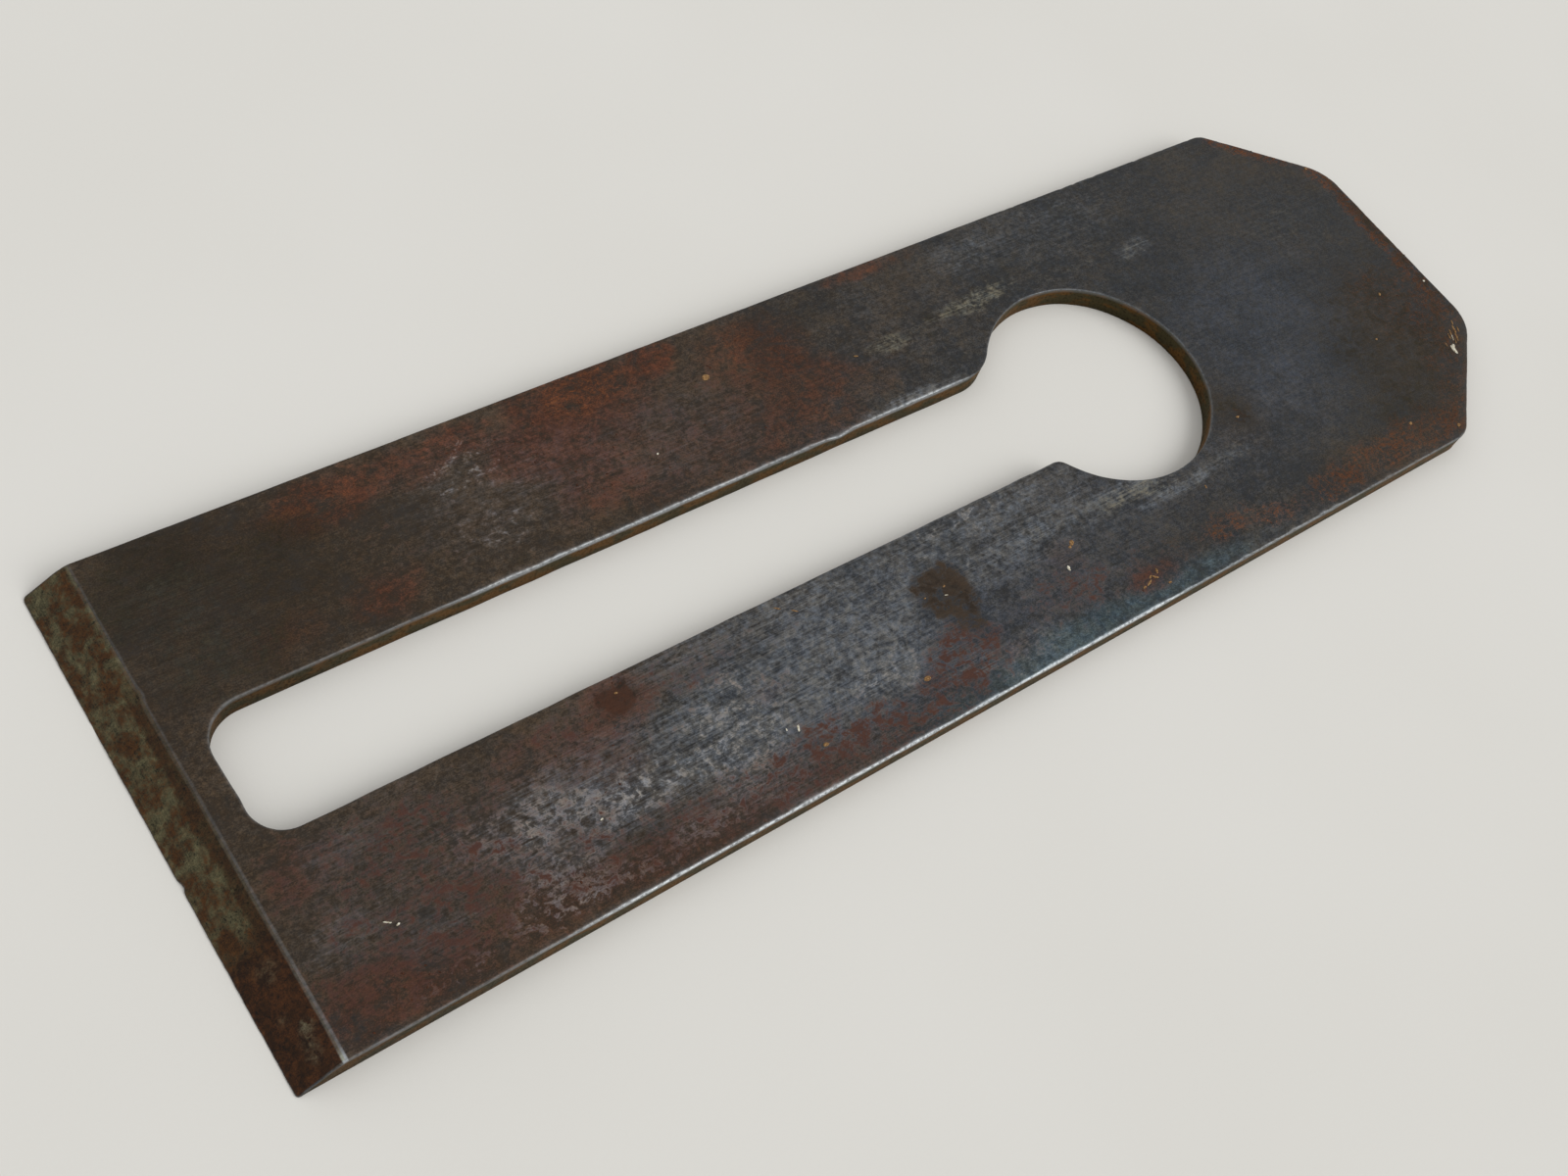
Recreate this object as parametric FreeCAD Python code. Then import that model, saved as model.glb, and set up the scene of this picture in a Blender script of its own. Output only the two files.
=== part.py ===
import FreeCAD, Part
import math
import os

# An old cutter for a wooden bench plane, in millimetres, lying flat on its back with the bevel up.
# X runs along the blade from the cutting edge to the head, Y across it, and Z is up.
# The origin is on the flat back, in the middle of the blade's length and width.

# The blank, a flat bar of even thickness.
BLADE_LENGTH = 192.6
BLADE_WIDTH = 60.3
BLADE_THICKNESS = 3.175

# The head's two clipped corners, cut by eye, so they differ. FAR is the +Y side, NEAR the -Y side.
FAR_CLIP_ALONG = 15.3
FAR_CLIP_ACROSS = 13.8
FAR_CLIP_SIDE_RADIUS = 2.5
FAR_CLIP_END_RADIUS = 7.5
NEAR_CLIP_ALONG = 17.0
NEAR_CLIP_ACROSS = 14.8
NEAR_CLIP_SIDE_RADIUS = 5.0
NEAR_CLIP_END_RADIUS = 7.0

# The keyhole that lets the cap iron's screw head through.
KEYHOLE_RADIUS = 15.8
KEYHOLE_FROM_HEAD = 62.5
KEYHOLE_OFFSET = 0.2

# The slot that the screw slides along. Grinding has brought the cutting edge close to its end.
SLOT_WIDTH = 15.6
SLOT_OFFSET = 0.65
SLOT_END_FROM_EDGE = 8.0
SLOT_FAR_CORNER_RADIUS = 5.0
SLOT_NEAR_CORNER_RADIUS = 4.0

# The slot's end is filed by hand and swells inward a little, just past the near corner's arc.
SLOT_SWELL = 0.4
SLOT_SWELL_FROM_ARC = 1.4
SLOT_SWELL_RADIUS = 9.0

# The slot's walls ease into the keyhole, widely on the far side and tightly on the near side.
FAR_BLEND_RADIUS = 7.5
NEAR_BLEND_RADIUS = 2.0

# The bevel: a strip of the old, shallower grind beside the arris, then the facet honed since.
BEVEL_RUN = 5.0
OLD_FACET_RUN = 1.4
OLD_FACET_ANGLE = 25.0

# The cutting edge's corners and the one small chip out of it.
FAR_EDGE_CORNER_RADIUS = 0.6
NEAR_EDGE_CORNER_RADIUS = 0.4
CHIP_RADIUS = 0.8
CHIP_DEPTH = 0.25
CHIP_OFFSET = -6.4

# Wear on the arrises.
OUTER_ARRIS_WEAR = 0.35
OPENING_ARRIS_WEAR = 0.45
BACK_ARRIS_WEAR = 0.2

# How far a cutting tool runs past what it cuts.
OVERRUN = 2.0

# A point counts as lying on a plane within this distance.
ON_PLANE = 0.001

EDGE_X = -BLADE_LENGTH / 2
HEAD_X = BLADE_LENGTH / 2
FAR_Y = BLADE_WIDTH / 2
NEAR_Y = -BLADE_WIDTH / 2
KEYHOLE_X = HEAD_X - KEYHOLE_FROM_HEAD
SLOT_END_X = EDGE_X + SLOT_END_FROM_EDGE
SLOT_FAR_Y = SLOT_OFFSET + SLOT_WIDTH / 2
SLOT_NEAR_Y = SLOT_OFFSET - SLOT_WIDTH / 2
SLOT_SWELL_Y = SLOT_NEAR_Y + SLOT_NEAR_CORNER_RADIUS + SLOT_SWELL_FROM_ARC


def at(x, y, z=0.0):
    """A point of the blade."""
    return FreeCAD.Vector(x, y, z)


def line(start, end):
    """A straight edge."""
    return Part.LineSegment(start, end).toShape()


def arc(start, middle, end):
    """An arc through three points."""
    return Part.Arc(start, middle, end).toShape()


def eased_path(start, corners, end):
    """Straight runs from start to end past the corners, each turned by a tangent arc of its radius."""
    points = [start] + [corner for corner, radius in corners] + [end]
    edges = []
    here = start
    for index, (corner, radius) in enumerate(corners, start=1):
        back = (points[index - 1] - corner).normalize()
        ahead = (points[index + 1] - corner).normalize()
        half_angle = back.getAngle(ahead) / 2
        setback = radius / math.tan(half_angle)
        inward = (back + ahead).normalize()
        centre = corner + inward * (radius / math.sin(half_angle))
        arc_start = corner + back * setback
        arc_end = corner + ahead * setback
        edges.append(line(here, arc_start))
        edges.append(arc(arc_start, centre - inward * radius, arc_end))
        here = arc_end
    edges.append(line(here, end))
    return edges


def blank():
    """The flat bar with its clipped head, square at the end that is ground."""
    corners = [
        (at(HEAD_X - NEAR_CLIP_ALONG, NEAR_Y), NEAR_CLIP_SIDE_RADIUS),
        (at(HEAD_X, NEAR_Y + NEAR_CLIP_ACROSS), NEAR_CLIP_END_RADIUS),
        (at(HEAD_X, FAR_Y - FAR_CLIP_ACROSS), FAR_CLIP_END_RADIUS),
        (at(HEAD_X - FAR_CLIP_ALONG, FAR_Y), FAR_CLIP_SIDE_RADIUS),
    ]
    near_corner = at(EDGE_X, NEAR_Y)
    far_corner = at(EDGE_X, FAR_Y)
    outline = eased_path(near_corner, corners, far_corner)
    outline.append(line(far_corner, near_corner))
    return Part.Face(Part.Wire(outline)).extrude(at(0, 0, BLADE_THICKNESS))


def blend_into_keyhole(side, radius):
    """The arc that eases one slot wall into the keyhole: on the wall, midway and on the circle."""
    keyhole = at(KEYHOLE_X, KEYHOLE_OFFSET)
    wall_y = SLOT_OFFSET + side * SLOT_WIDTH / 2
    centre_y = wall_y + side * radius
    reach = KEYHOLE_RADIUS + radius
    centre_x = KEYHOLE_X - math.sqrt(reach ** 2 - (centre_y - KEYHOLE_OFFSET) ** 2)
    centre = at(centre_x, centre_y)
    on_wall = at(centre_x, wall_y)
    on_circle = keyhole + (centre - keyhole) * (KEYHOLE_RADIUS / reach)
    toward_middle = (on_wall - centre + on_circle - centre).normalize()
    return on_wall, centre + toward_middle * radius, on_circle


def keyhole_slot():
    """The slot and the keyhole as one opening, run past both faces of the blade."""
    far_blend = blend_into_keyhole(1, FAR_BLEND_RADIUS)
    near_blend = blend_into_keyhole(-1, NEAR_BLEND_RADIUS)
    end_corners = [
        (at(SLOT_END_X, SLOT_FAR_Y), SLOT_FAR_CORNER_RADIUS),
        (at(SLOT_END_X + SLOT_SWELL, SLOT_SWELL_Y), SLOT_SWELL_RADIUS),
        (at(SLOT_END_X, SLOT_NEAR_Y), SLOT_NEAR_CORNER_RADIUS),
    ]
    outline = eased_path(far_blend[0], end_corners, near_blend[0])
    outline.append(arc(*near_blend))
    head_side = at(KEYHOLE_X + KEYHOLE_RADIUS, KEYHOLE_OFFSET)
    outline.append(arc(near_blend[2], head_side, far_blend[2]))
    outline.append(arc(*reversed(far_blend)))
    opening = Part.Face(Part.Wire(outline))
    opening.translate(at(0, 0, -OVERRUN))
    return opening.extrude(at(0, 0, BLADE_THICKNESS + 2 * OVERRUN))


def level_face(solid, height):
    """The flat face of the solid that lies at one height."""
    for face in solid.Faces:
        box = face.BoundBox
        if abs(box.ZMin - height) < ON_PLANE and abs(box.ZMax - height) < ON_PLANE:
            return face
    raise ValueError("no flat face at height %.3f" % height)


def outer_arris(solid, height):
    """The arris round the outside of a level face, apart from the end that is ground."""
    edges = level_face(solid, height).OuterWire.Edges
    return [edge for edge in edges if edge.BoundBox.XMax > EDGE_X + ON_PLANE]


def opening_arris(solid, height):
    """The arris round the opening in a level face."""
    face = level_face(solid, height)
    openings = [wire for wire in face.Wires if not wire.isSame(face.OuterWire)]
    return [edge for wire in openings for edge in wire.Edges]


def worn_blank():
    """The blank with the arrises of its sides and head worn round."""
    solid = blank()
    solid = solid.makeFillet(OUTER_ARRIS_WEAR, outer_arris(solid, BLADE_THICKNESS))
    return solid.makeFillet(BACK_ARRIS_WEAR, outer_arris(solid, 0))


def pierced(solid):
    """The solid with the keyhole slot through it and the opening's arrises worn round."""
    solid = solid.cut(keyhole_slot())
    solid = solid.makeFillet(OPENING_ARRIS_WEAR, opening_arris(solid, BLADE_THICKNESS))
    return solid.makeFillet(BACK_ARRIS_WEAR, opening_arris(solid, 0))


def bevel_waste():
    """What grinding took off: all that lies above the two facets of the bevel."""
    old_facet_slope = math.tan(math.radians(OLD_FACET_ANGLE))
    arris_x = EDGE_X + BEVEL_RUN
    facet_x = arris_x - OLD_FACET_RUN
    facet_z = BLADE_THICKNESS - OLD_FACET_RUN * old_facet_slope
    honed_slope = facet_z / (facet_x - EDGE_X)
    side_y = NEAR_Y - OVERRUN
    top_z = BLADE_THICKNESS + OVERRUN * old_facet_slope
    front_x = EDGE_X - OVERRUN
    section = [
        at(front_x, side_y, -honed_slope * OVERRUN),
        at(facet_x, side_y, facet_z),
        at(arris_x + OVERRUN, side_y, top_z),
        at(front_x, side_y, top_z),
    ]
    profile = Part.Face(Part.makePolygon(section + section[:1]))
    return profile.extrude(at(0, BLADE_WIDTH + 2 * OVERRUN, 0))


def edge_corner_waste(side, radius):
    """What wear took off one corner of the cutting edge."""
    corner = at(EDGE_X, side * BLADE_WIDTH / 2)
    along = at(EDGE_X + radius, corner.y)
    across = at(EDGE_X, corner.y - side * radius)
    centre = at(along.x, across.y)
    inward = (centre - corner).normalize()
    eased = arc(along, centre - inward * radius, across)
    waste = Part.Face(Part.Wire([line(corner, along), eased, line(across, corner)]))
    waste.translate(at(0, 0, -OVERRUN))
    return waste.extrude(at(0, 0, BLADE_THICKNESS + 2 * OVERRUN))


def chip():
    """The round bite of the small chip in the cutting edge."""
    centre = at(EDGE_X + CHIP_DEPTH - CHIP_RADIUS, CHIP_OFFSET, -OVERRUN)
    return Part.makeCylinder(CHIP_RADIUS, BLADE_THICKNESS + 2 * OVERRUN, centre)


def plane_iron():
    """The finished blade, one solid."""
    solid = pierced(worn_blank())
    solid = solid.cut(bevel_waste())
    solid = solid.cut(edge_corner_waste(1, FAR_EDGE_CORNER_RADIUS))
    solid = solid.cut(edge_corner_waste(-1, NEAR_EDGE_CORNER_RADIUS))
    return solid.cut(chip())


def main():
    """Build the blade and write it out."""
    os.makedirs("parts", exist_ok=True)
    blade = plane_iron()
    blade.exportStep("parts/plane_iron.step")
    box = blade.BoundBox
    print("solids %d, valid %s, volume %.1f mm3" % (len(blade.Solids), blade.isValid(), blade.Volume))
    print("box %.3f x %.3f x %.3f mm" % (box.XLength, box.YLength, box.ZLength))


main()
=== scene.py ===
"""The looks of an antique plane iron, a keyhole-slotted steel cutter that lies on its back.

The blade's sizes are in millimetres here and are turned to metres when a mesh is made. X runs from
the cutting edge to the head, Y across the blade, and Z is up. FAR is the +Y side, NEAR the -Y side.
"""

from __future__ import annotations

import logging
import math
from collections.abc import Sequence
from dataclasses import dataclass, field, replace
from enum import Enum

import bpy
import numpy as np
from mathutils import Matrix, Vector
from mathutils.geometry import delaunay_2d_cdt

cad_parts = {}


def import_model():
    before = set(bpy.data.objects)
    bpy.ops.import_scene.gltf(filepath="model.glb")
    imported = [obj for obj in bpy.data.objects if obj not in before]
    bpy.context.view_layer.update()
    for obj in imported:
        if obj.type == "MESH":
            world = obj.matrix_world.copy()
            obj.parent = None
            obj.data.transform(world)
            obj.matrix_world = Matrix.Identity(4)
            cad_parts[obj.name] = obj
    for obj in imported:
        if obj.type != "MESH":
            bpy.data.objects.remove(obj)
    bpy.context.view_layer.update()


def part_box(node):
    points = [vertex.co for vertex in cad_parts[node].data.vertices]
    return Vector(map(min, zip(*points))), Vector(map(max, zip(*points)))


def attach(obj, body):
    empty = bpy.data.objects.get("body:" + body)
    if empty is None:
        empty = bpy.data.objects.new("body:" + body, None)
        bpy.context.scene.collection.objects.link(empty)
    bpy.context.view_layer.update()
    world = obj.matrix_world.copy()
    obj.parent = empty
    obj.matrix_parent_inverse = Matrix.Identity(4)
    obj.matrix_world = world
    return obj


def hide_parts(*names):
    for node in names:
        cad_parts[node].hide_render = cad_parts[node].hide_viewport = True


LOG = logging.getLogger("plane_iron")

NODE = "plane_iron"
BODY = "root"

MM = 0.001
PER_MM = 1000.0

# What a node's input takes: another node's socket, or a number, or the numbers of a colour or a place.
Value = bpy.types.NodeSocket | float
Colour = bpy.types.NodeSocket | tuple[float, ...]


class Tone(Enum):
    """What a patch of the blade's face shows. The value names the mesh attribute that carries it."""

    RUST = "rust"
    ORANGE = "orange"
    SHEEN = "sheen"
    BARE = "bare"
    ISLE = "isle"
    STAIN = "stain"
    SPOT = "spot"
    CLOT = "clot"
    BLUE = "blue"
    EDGE_REFLECTION = "edge_reflection"
    WARM = "warm"
    DARK = "dark"
    PALE = "pale"
    CALM = "calm"
    HAZE = "haze"
    BROWN = "brown"


class Side(Enum):
    """A stretch of the blade's outline or of its opening."""

    OUTER_NEAR = "outer near side"
    OUTER_FAR = "outer far side"
    HEAD = "head"
    EDGE = "cutting edge"
    SLOT_NEAR = "slot near wall"
    SLOT_FAR = "slot far wall"
    SLOT_END = "slot end"
    KEYHOLE = "keyhole"


class Part(Enum):
    """A material slot of the blade's mesh."""

    FACE = 0
    BEVEL = 1
    WALL = 2
    BACK = 3


@dataclass(frozen=True)
class Patch:
    """A soft-edged oval on the face, in millimetres, with its strength and its turn in degrees."""

    x: float
    y: float
    along: float
    across: float
    strength: float
    turn: float = 0.0


@dataclass(frozen=True)
class WearHighlightRun:
    """A stretch of arris along X that wear makes wider, brighter or more jagged than its side. Its
    brightness is partly rubbed steel and partly painted highlight.
    """

    side: Side
    x: float
    half: float
    width: float
    bright: float
    jag: float = 0.0


@dataclass(frozen=True)
class Fleck:
    """A crumb stuck on the face: its place, length and width, and its turn in degrees."""

    x: float
    y: float
    length: float
    width: float
    turn: float = 0.0


# The round spot of rust beside the slot: its middle, and how far out the clots on its rim lie.
SPOT_X = -48.9
SPOT_Y = -10.1
RIM_ALONG = 2.3
RIM_ACROSS = 2.1
RIM_CLOTS = tuple(
    (SPOT_X + RIM_ALONG * math.cos(turn), SPOT_Y + RIM_ACROSS * math.sin(turn), 1.1, 0.9, 0.50)
    for turn in range(6)
)

# Where each tone lies, as the values of a Patch.
PATCHES: dict[Tone, tuple[tuple[float, ...], ...]] = {
    # Brown film over the far arm and the ground end, fading towards the head.
    Tone.WARM: (
        (-72, 18, 42, 30, 0.95), (-34, 20, 38, 20, 0.85), (2, 22, 30, 16, 0.36), (30, 25, 30, 12, 0.10),
        (-86, -2, 12, 34, 0.90), (-72, -18, 26, 20, 0.85), (-52, -28, 36, 7, 0.90), (-42, -9, 28, 5, 0.50),
        (84, -14, 16, 20, 0.45), (48, -12, 6, 8, 0.45), (66, -27, 22, 5, 0.60), (88, 22, 12, 8, 0.30, -41),
    ),
    # Red-brown rust, on the far arm first and then on the near arm.
    Tone.RUST: (
        (-64, 26, 10, 4.4, 0.75, 4), (-53, 26.5, 5, 3.5, 0.75), (-47, 27.5, 6, 2.4, 0.85),
        (-32, 26, 11, 7, 0.80, -4), (-40, 22, 8, 4.5, 0.90, -15), (-35, 16, 7, 6, 0.60, 20),
        (-22, 14, 16, 7, 0.34), (-64, 12.5, 6, 3.5, 0.65), (-75, 12.5, 6, 3.0, 0.35), (-7, 24, 9, 6, 0.65),
        (-5, 17, 9, 6, 0.50), (-6, 11, 9, 4, 0.40), (4, 14, 8, 4, 0.25), (-20, 28, 4.5, 2.6, 0.85),
        (14, 29, 9, 1.6, 0.60), (-28, 19, 30, 13, 0.20), (-82, 14, 12, 10, 0.20), (-80, 26, 7, 3, 0.25),
        (-86, -12, 6, 4, 0.45), (-85, -26, 10, 5, 0.55), (-72, -27, 14, 4.5, 0.42),
        (-52, -27.6, 18, 3.4, 0.50), (-60, -12, 7, 4, 0.45), (-53, -15, 6, 5, 0.55, 30),
        (-64, -20, 16, 7, 0.30), (-34, -17, 2.5, 1.6, 0.60), (-30, -28, 10, 3.2, 0.35),
        (-48.8, -10.2, 4.8, 4.0, 0.80), (-8.6, -22.5, 2.6, 4.2, 0.40, -22), (-11.5, -27.0, 3.0, 2.4, 0.40),
        (-15.5, -25.0, 3.0, 2.0, 0.45), (11, -19, 4, 3, 0.30), (-3, -26.5, 2.4, 1.6, 0.40),
        (19, -26.4, 5, 2.4, 0.60),
    ),
    # Orange rust, mostly at the head and along the near edge.
    Tone.ORANGE: (
        (-30, 27, 9, 4.6, 0.56), (-66, 26.5, 8, 3.5, 0.42), (-50, 27.5, 8, 2.4, 0.40), (-8, 25, 8, 4, 0.25),
        (35.5, -25.2, 7, 2.8, 0.60), (42, -27, 4, 2.2, 0.55), (52, -27.2, 8, 3.0, 0.62),
        (62, -26.6, 10, 3.8, 0.60), (74, -26.6, 10, 4.6, 0.64), (84, -23, 10, 4.6, 0.46, 41),
        (86, -10, 14, 14, 0.36), (88, -7, 8, 8, 0.30), (91, -13, 8, 5, 0.40, 45), (95.0, 2, 2.3, 16, 0.92),
        (87, 24.4, 10, 2.3, 0.85, -42), (94.4, 15.5, 2.0, 5, 0.65, 20),
    ),
    # Oxide rubbed thin, with a painted sheen of reflected light over it: a soft, streaky, cool lightening.
    Tone.SHEEN: (
        (-30, -17, 28, 15, 0.36), (-24, -17, 15, 10, 0.34), (-39, -20, 7, 11, 0.30),
        (-61, -20, 10, 7, 0.40), (-50, -20, 14, 8, 0.30), (-76, -16, 16, 10, 0.24), (-86, -20, 5, 4, 0.22),
        (-82, -11, 6, 3, 0.20), (-78, -24, 6, 3, 0.22), (-20, -23, 12, 6, 0.13), (-10, -24.4, 5, 4, 0.40),
        (-3, -27, 8, 3, 0.30), (2, -13, 20, 6, 0.36), (14, -17, 20, 10, 0.20), (-10, -8.5, 50, 2.5, 0.26),
        (-48, 20, 14, 11, 0.19), (-24, 17, 18, 9, 0.20), (42, 25, 20, 7, 0.22), (11, 25, 5, 4, 0.16),
        (28, 26, 8, 3.4, 0.18), (21, 22.5, 5, 2.6, 0.12), (-60, -12, 8, 4, 0.12),
        (54.5, 16.6, 4.5, 1.6, 0.34, 6), (25, -14.9, 9, 1.3, 0.56, -2), (31, -18.0, 6, 0.9, 0.50),
        (40, -17.3, 10, 0.8, 0.40, 1), (9, -14.6, 11, 1.0, 0.25, -2), (12, 18, 14, 6, 0.10),
        (8, 9.1, 8, 0.9, 0.62), (-84, 17, 10, 12, 0.12),
    ),
    # Flecks of bare metal where the oxide is rubbed through.
    Tone.BARE: (
        (-66, -17, 9, 5, 0.40), (-60, -21, 10, 5, 0.48), (-50, -21, 10, 6, 0.40), (-39, -19, 7, 10, 0.42),
        (-38, -25.5, 9, 4, 0.48), (-66, -26.0, 11, 4.0, 0.54), (-52, -27.3, 15, 2.4, 0.46),
        (-80, -18, 15, 11, 0.34), (-79, -28, 5, 2, 0.34), (-24, -17, 15, 9, 0.28), (-18, -24, 12, 5, 0.25),
        (-4, -27, 9, 3.5, 0.32), (2, -12, 18, 5, 0.30), (4, -8.2, 18, 1.3, 0.26), (-49, 24.5, 8, 4.2, 0.34),
        (-48, 17, 9, 8, 0.12), (-26, 15, 32, 9, 0.20), (-66, 15, 24, 9, 0.17), (20, 22, 20, 8, 0.17),
    ),
    # Small islands of rust in the rubbed metal, closest together along the near edge.
    Tone.ISLE: (
        (-66, -24.5, 18, 6.5, 0.50), (-48, -26, 18, 5, 0.54), (-32, -26.5, 14, 5, 0.54),
        (-20, -27.5, 13, 4, 0.52), (-11, -24.5, 6, 5.5, 0.56), (-15, -25, 2.5, 2, 0.40),
        (-60, -14, 22, 9, 0.42), (-34, -17, 5, 3.5, 0.20), (-42, -10, 18, 4, 0.34), (-82, -23, 16, 9, 0.56),
        (-84, -12, 12, 7, 0.50), (-26, -18, 22, 12, 0.24), (2, -25, 16, 6, 0.36), (20, -25, 14, 5, 0.36),
        (10, -19, 12, 6, 0.32), (-24, 17, 36, 14, 0.36), (-66, 17, 18, 12, 0.30), (66, -26, 20, 5, 0.34),
        (-74, -14, 10, 6, 0.30), (-8.5, -23.5, 5, 4.5, 0.34, -20), (47.8, -12.6, 3.0, 2.4, 0.40),
    ),
    # Painted reflection: a bluish cast of reflected sky on the near arm, and faintly over the head.
    Tone.BLUE: (
        (-22, -18, 26, 12, 0.60), (4, -24, 30, 8, 0.35), (64, -3, 20, 18, 0.60), (40, -18, 24, 8, 0.30),
        (12, -14, 24, 9, 0.30),
    ),
    # Painted reflection: a blue-green band of reflected sky along the near edge.
    Tone.EDGE_REFLECTION: (
        (8, -28.8, 34, 2.4, 0.80), (2, -27.4, 16, 2.0, 0.35),
    ),
    # Light smudges and rubbed streaks.
    Tone.PALE: (
        (9, 17.6, 5, 1.6, 0.44, -6), (16, 18.2, 5, 1.2, 0.26, 4), (27.5, 18.6, 6.5, 2.0, 0.62, 2),
        (12, 17.0, 6, 1.4, 0.20, -3), (26, 24, 14, 5, 0.10), (54, 16.4, 4, 1.2, 0.22, 8),
        (44, 17.6, 10, 1.0, 0.25), (25, -15.6, 9, 1.8, 0.52, -3), (40, -16.6, 11, 0.8, 0.25, 3),
        (80, 11, 8, 5, 0.20), (58, 4, 14, 20, 0.10),
    ),
    # Dark stains, and the sooty ground of the far corner.
    Tone.DARK: (
        (-86, 24, 10, 9, 0.45), (-80, 18, 16, 14, 0.48), (-83, 13, 8, 5, 0.44), (-70, 24, 6, 3, 0.40),
        (-60, 19, 12, 8, 0.15), (-15, 18, 14, 9, 0.15), (-5, 20, 9, 7, 0.16), (-30, 12, 12, 5, 0.18),
        (-53.4, -15.4, 0.9, 1.2, 0.60), (-48.8, -10.1, 3.2, 2.8, 0.42), (-30.6, 20.8, 0.9, 1.8, 0.60),
        (-49, 9.8, 1.4, 0.8, 0.50), (18, 18.8, 0.9, 0.7, 0.60), (22.5, 18.2, 1.2, 0.7, 0.50),
        (16.8, 16.2, 1.6, 0.7, 0.50), (48, -11.8, 4.0, 4.0, 0.45), (50, -9, 5, 8, 0.25),
        (0, 27, 14, 4, 0.30), (20, 28.5, 7, 1.6, 0.24), (17, 21, 4, 2, 0.24), (33, 21, 5, 2, 0.24),
        (38, 22, 10, 3.0, 0.24), (12, -20, 14, 3.5, 0.18), (28, -22, 16, 6, 0.34), (80, -13, 17, 16, 0.54),
        (90, -8, 9, 14, 0.20), (95.6, 4, 1.6, 14, 0.50), (64, -25, 26, 7, 0.26), (80, 24, 22, 9, 0.22, -20),
        (92, 6, 6, 14, 0.22), (95.7, -8, 1.4, 7, 0.50),
    ),
    # The brown comma on the near arm, with its tail.
    Tone.STAIN: (
        (-8.2, -16.0, 3.6, 3.3, 0.85, 20), (-5.2, -14.8, 3.2, 2.6, 0.85), (-5.2, -17.6, 2.9, 3.0, 0.85, 15),
        (-6.0, -20.4, 2.2, 2.2, 0.62, 20),
    ),
    # Olive bloom on the bevel, its olive cast partly a painted green reflection.
    Tone.HAZE: (
        (-94.8, 28.5, 1.2, 1.8, 0.80), (-95.2, 24.2, 0.8, 1.4, 0.70), (-94.2, 19.0, 1.1, 1.8, 0.90),
        (-91.9, 14.6, 0.5, 1.9, 0.90), (-95.3, 13.6, 0.7, 1.0, 0.70), (-94.8, 6.2, 1.1, 1.5, 0.60),
        (-94.9, 0.8, 1.1, 1.4, 0.70), (-93.8, -5.0, 0.9, 5.0, 0.80), (-93.6, -12.8, 0.8, 2.4, 0.80),
        (-95.0, -10.6, 0.8, 1.2, 0.50), (-94.3, -23.4, 0.8, 0.9, 0.55), (-92.9, -24.9, 0.6, 0.7, 0.95),
        (-93.3, -27.2, 0.7, 1.2, 0.60), (-93.4, -18.6, 0.9, 1.4, 0.45),
    ),
    # Brown rust on the bevel.
    Tone.BROWN: (
        (-94.6, 27.2, 0.7, 0.8, 0.80), (-93.6, 23.0, 1.2, 2.6, 0.80), (-92.2, 27.0, 0.5, 3.6, 0.90),
        (-94.6, 15.4, 1.2, 1.4, 0.80), (-93.0, 17.0, 0.8, 1.8, 0.50), (-94.2, 9.4, 1.6, 2.4, 0.60),
        (-95.0, 3.2, 0.9, 0.9, 0.80), (-95.4, -2.6, 0.7, 1.6, 0.60), (-94.8, -6.6, 0.7, 1.4, 0.60),
        (-94.9, -14.0, 0.8, 1.0, 0.80),
    ),
    # The round spot beside the slot, and a small one near it.
    Tone.SPOT: (
        (SPOT_X, SPOT_Y, 2.9, 2.6, 0.95), (-53.2, -15.2, 1.2, 0.9, 0.45),
    ),
    # Soot in the comma, in the round spots and round the larger one's rim.
    Tone.CLOT: (
        (-7.6, -15.6, 4.0, 3.4, 0.56), (-4.6, -18.4, 2.2, 2.6, 0.62), (SPOT_X, SPOT_Y, 2.4, 2.1, 0.42),
        (-53.2, -15.2, 1.0, 0.8, 0.50), (48.4, -12.9, 1.9, 1.5, 0.50), *RIM_CLOTS,
    ),
    # The head's face, smoother than the rest.
    Tone.CALM: (
        (72, 2, 34, 36, 1.0), (30, 26, 20, 8, 0.5),
    ),
}

# Where arrises are rubbed wider, brighter or more jagged. Their brightness is partly rubbed steel and partly
# painted highlight, set high on the arrises that face the lamp.
WEAR_HIGHLIGHT_RUNS = (
    WearHighlightRun(Side.SLOT_FAR, -70, 18, 0.22, 0.34, 0.2),
    WearHighlightRun(Side.SLOT_FAR, -34, 24, 0.34, 1.00, 0.3),
    WearHighlightRun(Side.SLOT_FAR, -2, 16, 0.34, 0.78, 0.4),
    WearHighlightRun(Side.SLOT_FAR, 9, 8, 0.42, 0.74, 0.4),
    WearHighlightRun(Side.SLOT_NEAR, -30, 60, 0.20, 0.15, 0.25),
    WearHighlightRun(Side.SLOT_NEAR, 4, 14, 0.40, 0.40, 0.5),
    WearHighlightRun(Side.SLOT_END, -88, 4, 0.30, 0.30),
    WearHighlightRun(Side.KEYHOLE, 34, 20, 0.24, 0.28, 0.1),
    WearHighlightRun(Side.OUTER_NEAR, -76, 16, 0.25, 0.36, 0.1),
    WearHighlightRun(Side.OUTER_NEAR, -18, 50, 0.36, 1.35, 0.3),
    WearHighlightRun(Side.OUTER_NEAR, 48, 26, 0.27, 0.68, 1.0),
    WearHighlightRun(Side.OUTER_NEAR, 68, 12, 0.24, 0.42, 0.8),
    WearHighlightRun(Side.OUTER_FAR, 60, 20, 0.25, 0.20, 0.9),
    WearHighlightRun(Side.HEAD, 90, 10, 0.30, 0.05, 0.3),
)

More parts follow.
